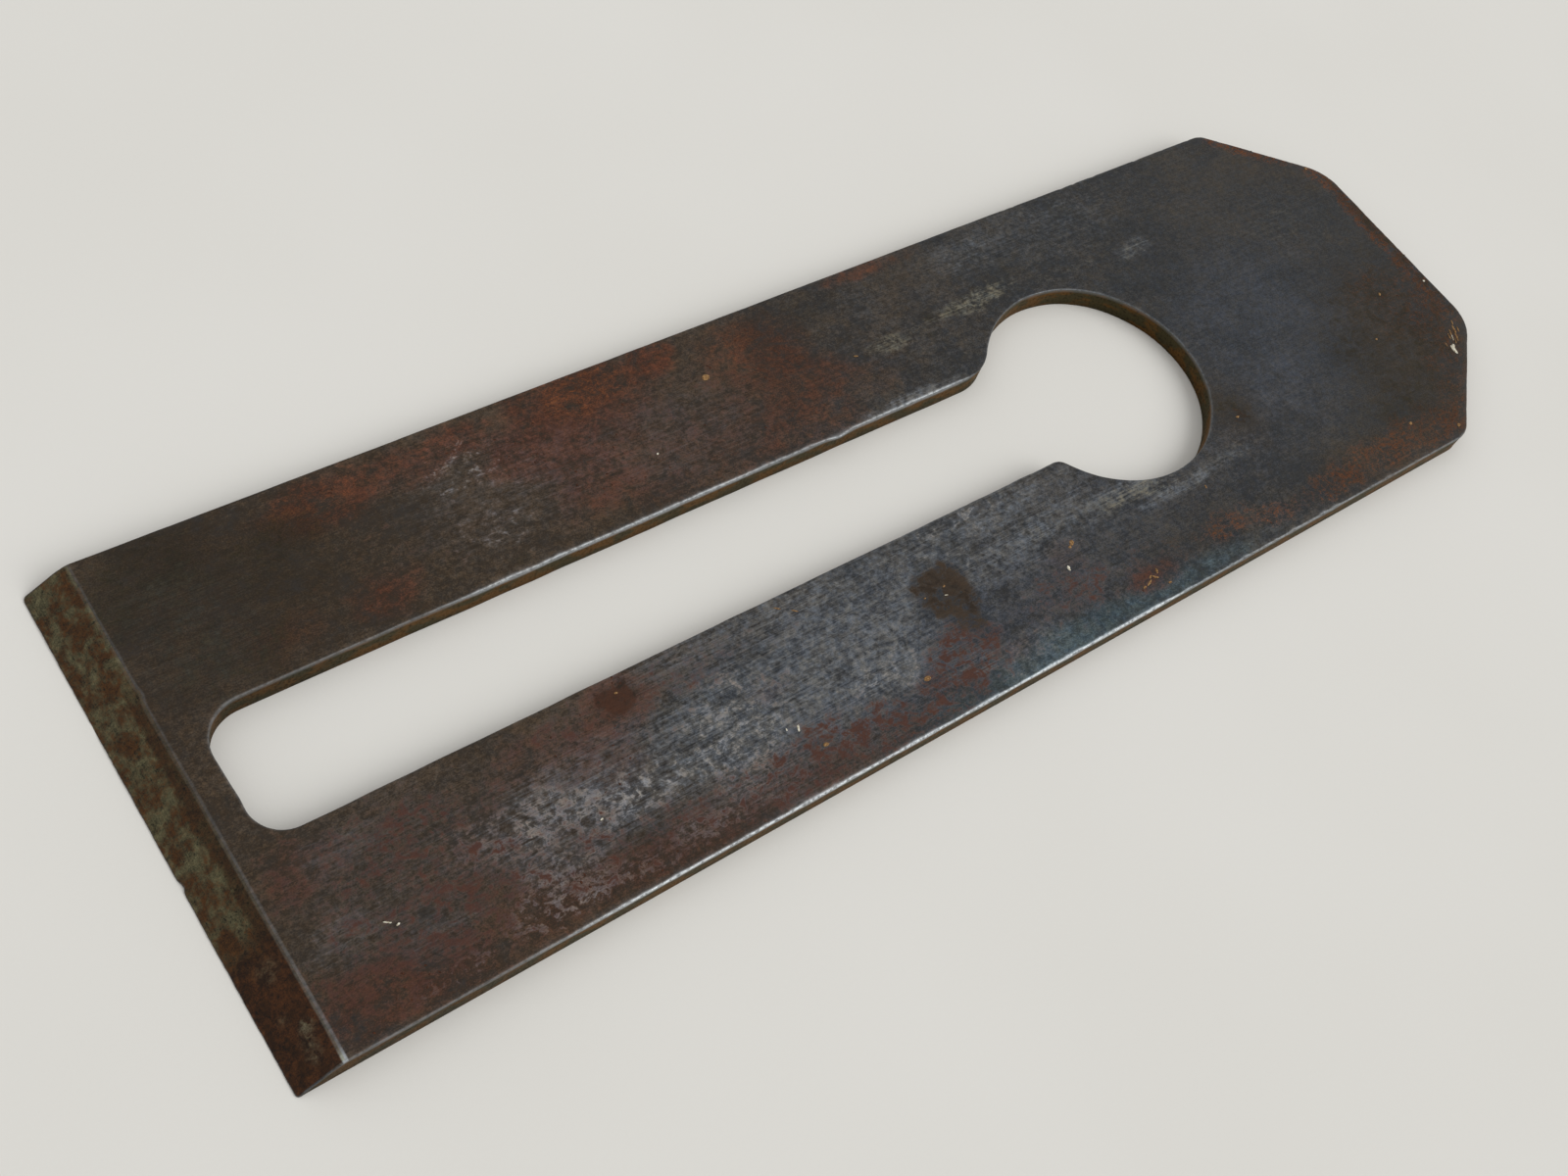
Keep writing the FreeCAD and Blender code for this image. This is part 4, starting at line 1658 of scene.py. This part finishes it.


# To the eye: a dull olive-brown edge without any shine, its olive partly a painted green reflection,
# streaked upright by the file, darker towards the cutting edge and darkened by painted shade at its foot.
@dataclass(frozen=True)
class RustedWall:
    """The filed edges of the plate, never polished, brown with rust and old oil."""

    name: str = "rusted_filed_edge"
    # The umber's olive cast is partly rust and partly a painted green reflection.
    umber: str = "#3B341E"
    rust: str = "#563B18"
    soot: str = "#1F180D"
    bright: str = "#A9AEB2"
    metallic: float = 0.15
    roughness: tuple[float, float] = (0.55, 0.75)
    file_mm: float = 0.3
    mottle_mm: float = 2.4
    specks_mm: float = 0.35
    # Between which levels of the mottle umber gives way to rust, and of the specks to soot.
    rust_levels: tuple[float, float] = (0.42, 0.58)
    soot_levels: tuple[float, float] = (0.50, 0.68)
    soot_most: float = 0.7
    # The walls darken towards the cutting edge, between these places, and painted shade darkens their foot,
    # up to this height. The mottle shifts the places by so many millimetres, and so much of the brightness is
    # left there.
    darker_along: tuple[float, float] = (-76.0, -60.0)
    painted_shade_heights: tuple[float, float] = (0.2, 1.5)
    darker_along_wander: float = 8.0
    brightness_left: tuple[float, float] = (0.72, 0.76)
    bump_mm: float = 0.05
    specular: float = 0.12

    def build(self) -> bpy.types.Material:
        """Make the material.

        Returns:
            The walls' material.
        """
        s = Shading(self.name)
        mottle = s.noise(self.mottle_mm, detail=4.0, rough=0.6, stretch=(1.6, 1.6, 0.7))
        specks = s.noise(self.specks_mm, detail=4.0, rough=0.6)
        # File marks stand across the wall, about three to the millimetre.
        filed = s.noise(self.file_mm, detail=2.0, rough=0.5, stretch=(1, 1, 14))
        rusty = s.add(Step.RAMP, mottle, *self.rust_levels)
        sooty = s.add(Step.RAMP, specks, *self.soot_levels, 0.0, self.soot_most)
        colour = s.add(Step.MIX, rusty, linear(self.umber), linear(self.rust))
        colour = s.add(Step.MIX, sooty, colour, linear(self.soot))
        x, z = s.add(Step.ALONG, s.mm), s.add(Step.HEIGHT, s.mm)
        # The walls darken towards the cutting edge, and painted shade darkens their foot.
        along = s.total([(x, 1.0), (mottle, self.darker_along_wander)])
        along = s.add(Step.RAMP, along, *self.darker_along, self.brightness_left[0], 1.0)
        painted_foot_shade = s.add(Step.RAMP, z, *self.painted_shade_heights, self.brightness_left[1], 1.0)
        colour = s.tinted(colour, s.add(Step.MULTIPLY, along, painted_foot_shade))
        layer = Layer(colour, self.metallic, s.add(Step.RAMP, specks, 0.3, 0.7, *self.roughness))
        # Rubbed edges, partly painted highlight.
        layer = s.bared_and_highlighted(layer, s.worn_edge(specks), self.bright)
        return s.finish(layer, s.total([(filed, 0.6), (specks, 0.6)]), self.bump_mm, self.specular)


# To the eye: small matt crumbs, paler or redder than the steel, that catch no light.
@dataclass(frozen=True)
class Crumb:
    """Dirt or rust dried on the steel: a dull, chalky grain."""

    name: str
    light: str
    dark: str
    specks_mm: float = 0.2
    roughness: float = 0.85
    bump_mm: float = 0.03

    def build(self) -> bpy.types.Material:
        """Make the material.

        Returns:
            The crumbs' material.
        """
        s = Shading(self.name)
        specks = s.noise(self.specks_mm, detail=3.0, rough=0.6)
        colour = s.add(Step.MIX, s.add(Step.RAMP, specks, 0.4, 0.62), linear(self.light), linear(self.dark))
        return s.finish(Layer(colour, 0.0, self.roughness), specks, self.bump_mm)


PALE_CRUMB = Crumb("chalky_crumb", "#E6E2D2", "#A49A82")
TAN_CRUMB = Crumb("clay_crumb", "#9C7A50", "#6A4C2E")
SCAB_RUST = Crumb("rust_scab", "#4C2C1B", "#301C12")


@dataclass
class GrainTree:
    """A Geometry Nodes tree that sets crumbs on a mesh and makes each one uneven.

    With a seed the crumbs are scattered over the faces, as thickly as the attribute scab says. Without
    one they lie on the mesh's points, and the attributes stretch and turn shape them.
    """

    name: str
    material: bpy.types.Material
    seed: int | None = None
    bumps_per_mm: float = 2.6
    tree: bpy.types.NodeTree = field(init=False)

    def __post_init__(self) -> None:
        """Make the empty tree with its named inputs."""
        self.tree = bpy.data.node_groups.new(self.name, "GeometryNodeTree")
        names = ["Size", "Height", "Unevenness"]
        if self.seed is not None:
            names.append("Density")
        face = self.tree.interface
        face.new_socket("Geometry", in_out="INPUT", socket_type="NodeSocketGeometry")
        for name in names:
            face.new_socket(name, in_out="INPUT", socket_type="NodeSocketFloat")
        face.new_socket("Geometry", in_out="OUTPUT", socket_type="NodeSocketGeometry")

    def add(self, kind: str, settings: dict, inputs: dict, output: int | str = 0) -> bpy.types.NodeSocket:
        """Add a node to the tree and give one of its outputs, the first unless another is named."""
        return add_node(self.tree, kind, settings, inputs).outputs[output]

    def scattered(self, given: Sequence[bpy.types.NodeSocket]) -> tuple[bpy.types.NodeSocket, ...]:
        """Scatter points over the mesh's faces.

        Args:
            given: The tree's inputs.

        Returns:
            The points, and each crumb's stretch and turn.
        """
        scab = self.add("GeometryNodeInputNamedAttribute", {"data_type": "FLOAT"}, {"Name": "scab"})
        density = self.add("ShaderNodeMath", {"operation": "MULTIPLY"}, {0: scab, 1: given["Density"]})
        inputs = {"Mesh": given["Geometry"], "Density": density, "Seed": self.seed}
        points = self.add("GeometryNodeDistributePointsOnFaces", {}, inputs, "Points")
        lengths = {0: (0.5, 0.35, 1.0), 1: (1.6, 1.0, 1.0), "Seed": self.seed + 1}
        stretch = self.add("FunctionNodeRandomValue", {"data_type": "FLOAT_VECTOR"}, lengths)
        turns = {2: 0.0, 3: math.tau, "Seed": self.seed + 2}
        return points, stretch, self.add("FunctionNodeRandomValue", {"data_type": "FLOAT"}, turns, 1)

    def placed(self, given: Sequence[bpy.types.NodeSocket]) -> tuple[bpy.types.NodeSocket, ...]:
        """Take the mesh's own points.

        Args:
            given: The tree's inputs.

        Returns:
            The points, and each crumb's stretch and turn.
        """
        points = self.add("GeometryNodeMeshToPoints", {}, {0: given["Geometry"]})
        shape = []
        for name, kind in (("stretch", "FLOAT_VECTOR"), ("turn", "FLOAT")):
            shape.append(self.add("GeometryNodeInputNamedAttribute", {"data_type": kind}, {"Name": name}))
        return points, *shape

    def build(self) -> bpy.types.NodeTree:
        """Build the tree.

        Returns:
            The tree, with named inputs for the crumbs' size, height, unevenness and, scattered, density.
        """
        given = add_node(self.tree, "NodeGroupInput", {}, {}).outputs
        points, stretch, turn = self.placed(given) if self.seed is None else self.scattered(given)
        pebble = self.add("GeometryNodeMeshIcoSphere", {}, {"Radius": 0.5, "Subdivisions": 2})
        size = self.add("ShaderNodeCombineXYZ", {}, {0: given["Size"], 1: given["Size"], 2: given["Height"]})
        scale = self.add("ShaderNodeVectorMath", {"operation": "MULTIPLY"}, {0: stretch, 1: size})
        around = self.add("ShaderNodeCombineXYZ", {}, {2: turn})
        inputs = {"Points": points, "Instance": pebble, "Rotation": around, "Scale": scale}
        crumbs = self.add("GeometryNodeInstanceOnPoints", {}, inputs)
        real = self.add("GeometryNodeRealizeInstances", {}, {0: crumbs})
        bumps = {"Scale": self.bumps_per_mm * PER_MM, "Detail": 2.0}
        wobble = self.add("ShaderNodeTexNoise", {"noise_dimensions": "3D"}, bumps, "Color")
        centred = self.add("ShaderNodeVectorMath", {"operation": "SUBTRACT"}, {0: wobble, 1: (0.5, 0.5, 0.5)})
        swell = {0: centred, "Scale": given["Unevenness"]}
        push = self.add("ShaderNodeVectorMath", {"operation": "SCALE"}, swell)
        moved = self.add("GeometryNodeSetPosition", {}, {"Geometry": real, "Offset": push})
        painted = self.add("GeometryNodeSetMaterial", {}, {"Geometry": moved, "Material": self.material})
        add_node(self.tree, "NodeGroupOutput", {}, {0: painted})
        return self.tree


def run_tree(
    name: str,
    base: bpy.types.Mesh,
    tree: bpy.types.NodeTree,
    values: dict[str, float],
) -> bpy.types.Object:
    """Run a Geometry Nodes tree over a mesh and keep the result as a plain mesh.

    Args:
        name: The new object's name.
        base: The mesh that the tree starts from.
        tree: The tree.
        values: The named inputs' values.

    Returns:
        The new object, at the origin.
    """
    carrier = bpy.data.objects.new(name + "_carrier", base)
    modifier = carrier.modifiers.new("grains", "NODES")
    modifier.node_group = tree
    for socket in tree.interface.items_tree:
        if socket.in_out == "INPUT" and socket.name in values:
            modifier[socket.identifier] = values[socket.name]
    bpy.context.scene.collection.objects.link(carrier)
    graph = bpy.context.evaluated_depsgraph_get()
    mesh = bpy.data.meshes.new_from_object(carrier.evaluated_get(graph), depsgraph=graph)
    mesh.name = name
    bpy.data.objects.remove(carrier)
    mesh.polygons.foreach_set("use_smooth", [True] * len(mesh.polygons))
    piece = bpy.data.objects.new(name, mesh)
    bpy.context.scene.collection.objects.link(piece)
    return piece


@dataclass
class StuckCrumbs:
    """The crumbs and flecks stuck on the face where the photograph shows them."""

    blade: Blade
    height: float = 0.16
    unevenness: float = 0.18

    def build(self, name: str, flecks: Sequence[Fleck], finish: Crumb) -> bpy.types.Object:
        """Set crumbs of one finish on the face.

        Args:
            name: The object's name.
            flecks: Where they lie.
            finish: What they are made of.

        Returns:
            The new object.
        """
        x = np.array([fleck.x for fleck in flecks])
        y = np.array([fleck.y for fleck in flecks])
        z = self.blade.face_height(x, y)
        base = bpy.data.meshes.new(name + "_points")
        base.from_pydata((np.column_stack([x, y, z]) * MM).tolist(), [], [])
        sizes = base.attributes.new("stretch", "FLOAT_VECTOR", "POINT")
        sizes.data.foreach_set("vector", [v for f in flecks for v in (f.length, f.width, 1.0)])
        turns = base.attributes.new("turn", "FLOAT", "POINT")
        turns.data.foreach_set("value", [math.radians(fleck.turn) for fleck in flecks])
        tree = GrainTree(name + "_tree", finish.build()).build()
        values = {"Size": MM, "Height": self.height * MM, "Unevenness": self.unevenness * MM}
        return run_tree(name, base, tree, values)


@dataclass
class RustScabs:
    """Small raised scabs that rust has left where it is thickest."""

    blade: Blade
    per_square_mm: float = 0.30
    size: float = 0.28
    height: float = 0.035
    unevenness: float = 0.08
    seed: int = 5
    # Scabs stand where the rust is between these strengths, and on the flat face only.
    rust_from: tuple[float, float] = (0.35, 0.95)
    most_wall: float = 0.5
    most_worn: float = 0.2
    flat_share: float = 0.97

    def build(self, piece: bpy.types.Object) -> bpy.types.Object:
        """Scatter the scabs over the blade.

        Args:
            piece: The blade's object.

        Returns:
            The new object.
        """
        base = piece.data.copy()
        count = len(base.vertices)
        layers = {}
        for name in ("rust", "orange", "wall", "worn"):
            layers[name] = np.zeros(count, np.float32)
            base.attributes[name].data.foreach_get("value", layers[name])
        places = np.zeros(count * 3, np.float32)
        base.vertices.foreach_get("co", places)
        places = places.reshape(-1, 3) * PER_MM
        on_top = places[:, 2] > self.blade.thickness * self.flat_share
        thick = smooth(*self.rust_from, np.maximum(layers["rust"], layers["orange"]))
        scab = thick * on_top * (layers["wall"] < self.most_wall) * (layers["worn"] < self.most_worn)
        layer = base.attributes.new("scab", "FLOAT", "POINT")
        layer.data.foreach_set("value", scab.astype(np.float32))
        tree = GrainTree("scab_tree", SCAB_RUST.build(), self.seed).build()
        values = {
            "Size": self.size * MM,
            "Height": self.height * MM,
            "Unevenness": self.unevenness * MM,
            "Density": self.per_square_mm * PER_MM**2,
        }
        return run_tree("rust_scabs", base, tree, values)


@dataclass(frozen=True)
class Studio:
    """A plain pale floor, a soft lamp, an even sky and the camera."""

    floor_colour: str = "#DEDCD6"
    sky_colour: str = "#ECEBE8"
    white: str = "#FFFFFF"
    floor_half: float = 6.0
    floor_clouds_mm: float = 60.0
    floor_grain_mm: float = 0.5
    floor_cloudiness: float = 0.06
    floor_roughness: float = 0.9
    floor_bump_mm: float = 0.01
    sky_light: float = 0.62
    lamp_strength: float = 1.5
    lamp_spread: float = 50.0
    lamp_way: tuple[float, float, float] = (0.46, -0.58, 0.68)
    camera_place: tuple[float, float, float] = (-0.11923, -0.07095, 0.16629)
    camera_target: tuple[float, float, float] = (-0.02211, -0.00546, 0.0)
    camera_up: tuple[float, float, float] = (0.3810, 0.7625, 0.5229)
    camera_lens: float = 39.89
    camera_sensor: float = 36.0
    camera_clip: float = 0.01

    def build_floor(self) -> bpy.types.Object:
        """Returns:
            The floor's object.
        """
        half = self.floor_half
        corners = [(-half, -half, 0), (half, -half, 0), (half, half, 0), (-half, half, 0)]
        mesh = bpy.data.meshes.new("floor")
        mesh.from_pydata(corners, [], [(0, 1, 2, 3)])
        floor = bpy.data.objects.new("floor", mesh)
        bpy.context.scene.collection.objects.link(floor)
        s = Shading("pale_floor")
        clouds = s.add(Step.RAMP, s.noise(self.floor_clouds_mm, detail=2.0, rough=0.5), 0.3, 0.7)
        whitened = s.add(Step.MULTIPLY, clouds, self.floor_cloudiness)
        colour = s.add(Step.MIX, whitened, linear(self.floor_colour), linear(self.white))
        grain = s.noise(self.floor_grain_mm, detail=2.0, rough=0.5)
        layer = Layer(colour, 0.0, self.floor_roughness)
        mesh.materials.append(s.finish(layer, grain, self.floor_bump_mm))
        return floor

    def build_sky(self) -> None:
        """Light the scene evenly, and show a pale ground to the camera and to reflections."""
        world = bpy.data.worlds.new("even_sky")
        world.use_nodes = True
        bpy.context.scene.world = world
        tree = world.node_tree
        tree.nodes.clear()
        seen = add_node(tree, "ShaderNodeLightPath", {}, {}).outputs
        shown = seen["Is Camera Ray"]
        for ray in ("Is Glossy Ray", "Is Transmission Ray"):
            inputs = {0: shown, 1: seen[ray]}
            shown = add_node(tree, "ShaderNodeMath", {"operation": "MAXIMUM"}, inputs).outputs[0]
        light = {0: linear(self.white), 1: self.sky_light}
        ground = {0: linear(self.sky_colour), 1: 1.0}
        lights = [add_node(tree, "ShaderNodeBackground", {}, inputs).outputs[0] for inputs in (light, ground)]
        both = add_node(tree, "ShaderNodeMixShader", {}, {0: shown, 1: lights[0], 2: lights[1]}).outputs[0]
        add_node(tree, "ShaderNodeOutputWorld", {}, {0: both})

    def build_lamp(self) -> None:
        """Hang the soft lamp on the near side, towards the head, so far off that it lights all evenly."""
        way = Vector(self.lamp_way).normalized()
        data = bpy.data.lights.new("soft_lamp", "SUN")
        data.angle = math.radians(self.lamp_spread)
        data.energy = self.lamp_strength
        lamp = bpy.data.objects.new("soft_lamp", data)
        lamp.location = way
        lamp.rotation_euler = (-way).to_track_quat("-Z", "Y").to_euler()
        bpy.context.scene.collection.objects.link(lamp)

    def build_camera(self) -> None:
        """Set the camera at the photograph's angle."""
        data = bpy.data.cameras.new("camera")
        data.sensor_width = self.camera_sensor
        data.lens = self.camera_lens
        data.clip_start = self.camera_clip
        camera = bpy.data.objects.new("camera", data)
        camera.location = self.camera_place
        ahead = (Vector(self.camera_target) - Vector(self.camera_place)).normalized()
        right = ahead.cross(Vector(self.camera_up)).normalized()
        camera.rotation_euler = Matrix((right, right.cross(ahead), -ahead)).transposed().to_euler()
        bpy.context.scene.collection.objects.link(camera)
        bpy.context.scene.camera = camera

    def build(self) -> None:
        """Build the whole studio."""
        self.build_floor()
        self.build_sky()
        self.build_lamp()
        self.build_camera()
        bpy.context.scene.view_settings.view_transform = "Standard"


def corners(bounds: tuple[Vector, Vector]) -> list[list[float]]:
    """A box's two corners as plain lists."""
    return [[float(v) for v in corner] for corner in bounds]


def main() -> None:
    """Build the plane iron's looks round the frame and set the studio."""
    logging.basicConfig(level=logging.INFO, format="%(name)s: %(message)s")
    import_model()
    low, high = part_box(NODE)
    size = (high - low) * PER_MM
    blade = Blade(length=size.x, width=size.y, thickness=size.z)
    piece = blade.build()
    face = PatinatedSteel().build()
    for material in (face, HonedBevel().build(blade), RustedWall().build(), face):
        piece.data.materials.append(material)
    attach(piece, BODY)
    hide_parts(NODE)
    LOG.info("%s: %d faces", piece.name, len(piece.data.polygons))
    crumbs = StuckCrumbs(blade)
    grains = [
        crumbs.build("pale_flecks", PALE_FLECKS, PALE_CRUMB),
        crumbs.build("tan_flecks", TAN_FLECKS, TAN_CRUMB),
        RustScabs(blade).build(piece),
    ]
    for grain in grains:
        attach(grain, BODY)
        LOG.info("%s: %d faces", grain.name, len(grain.data.polygons))
    Studio().build()


if __name__ == "__main__":
    main()
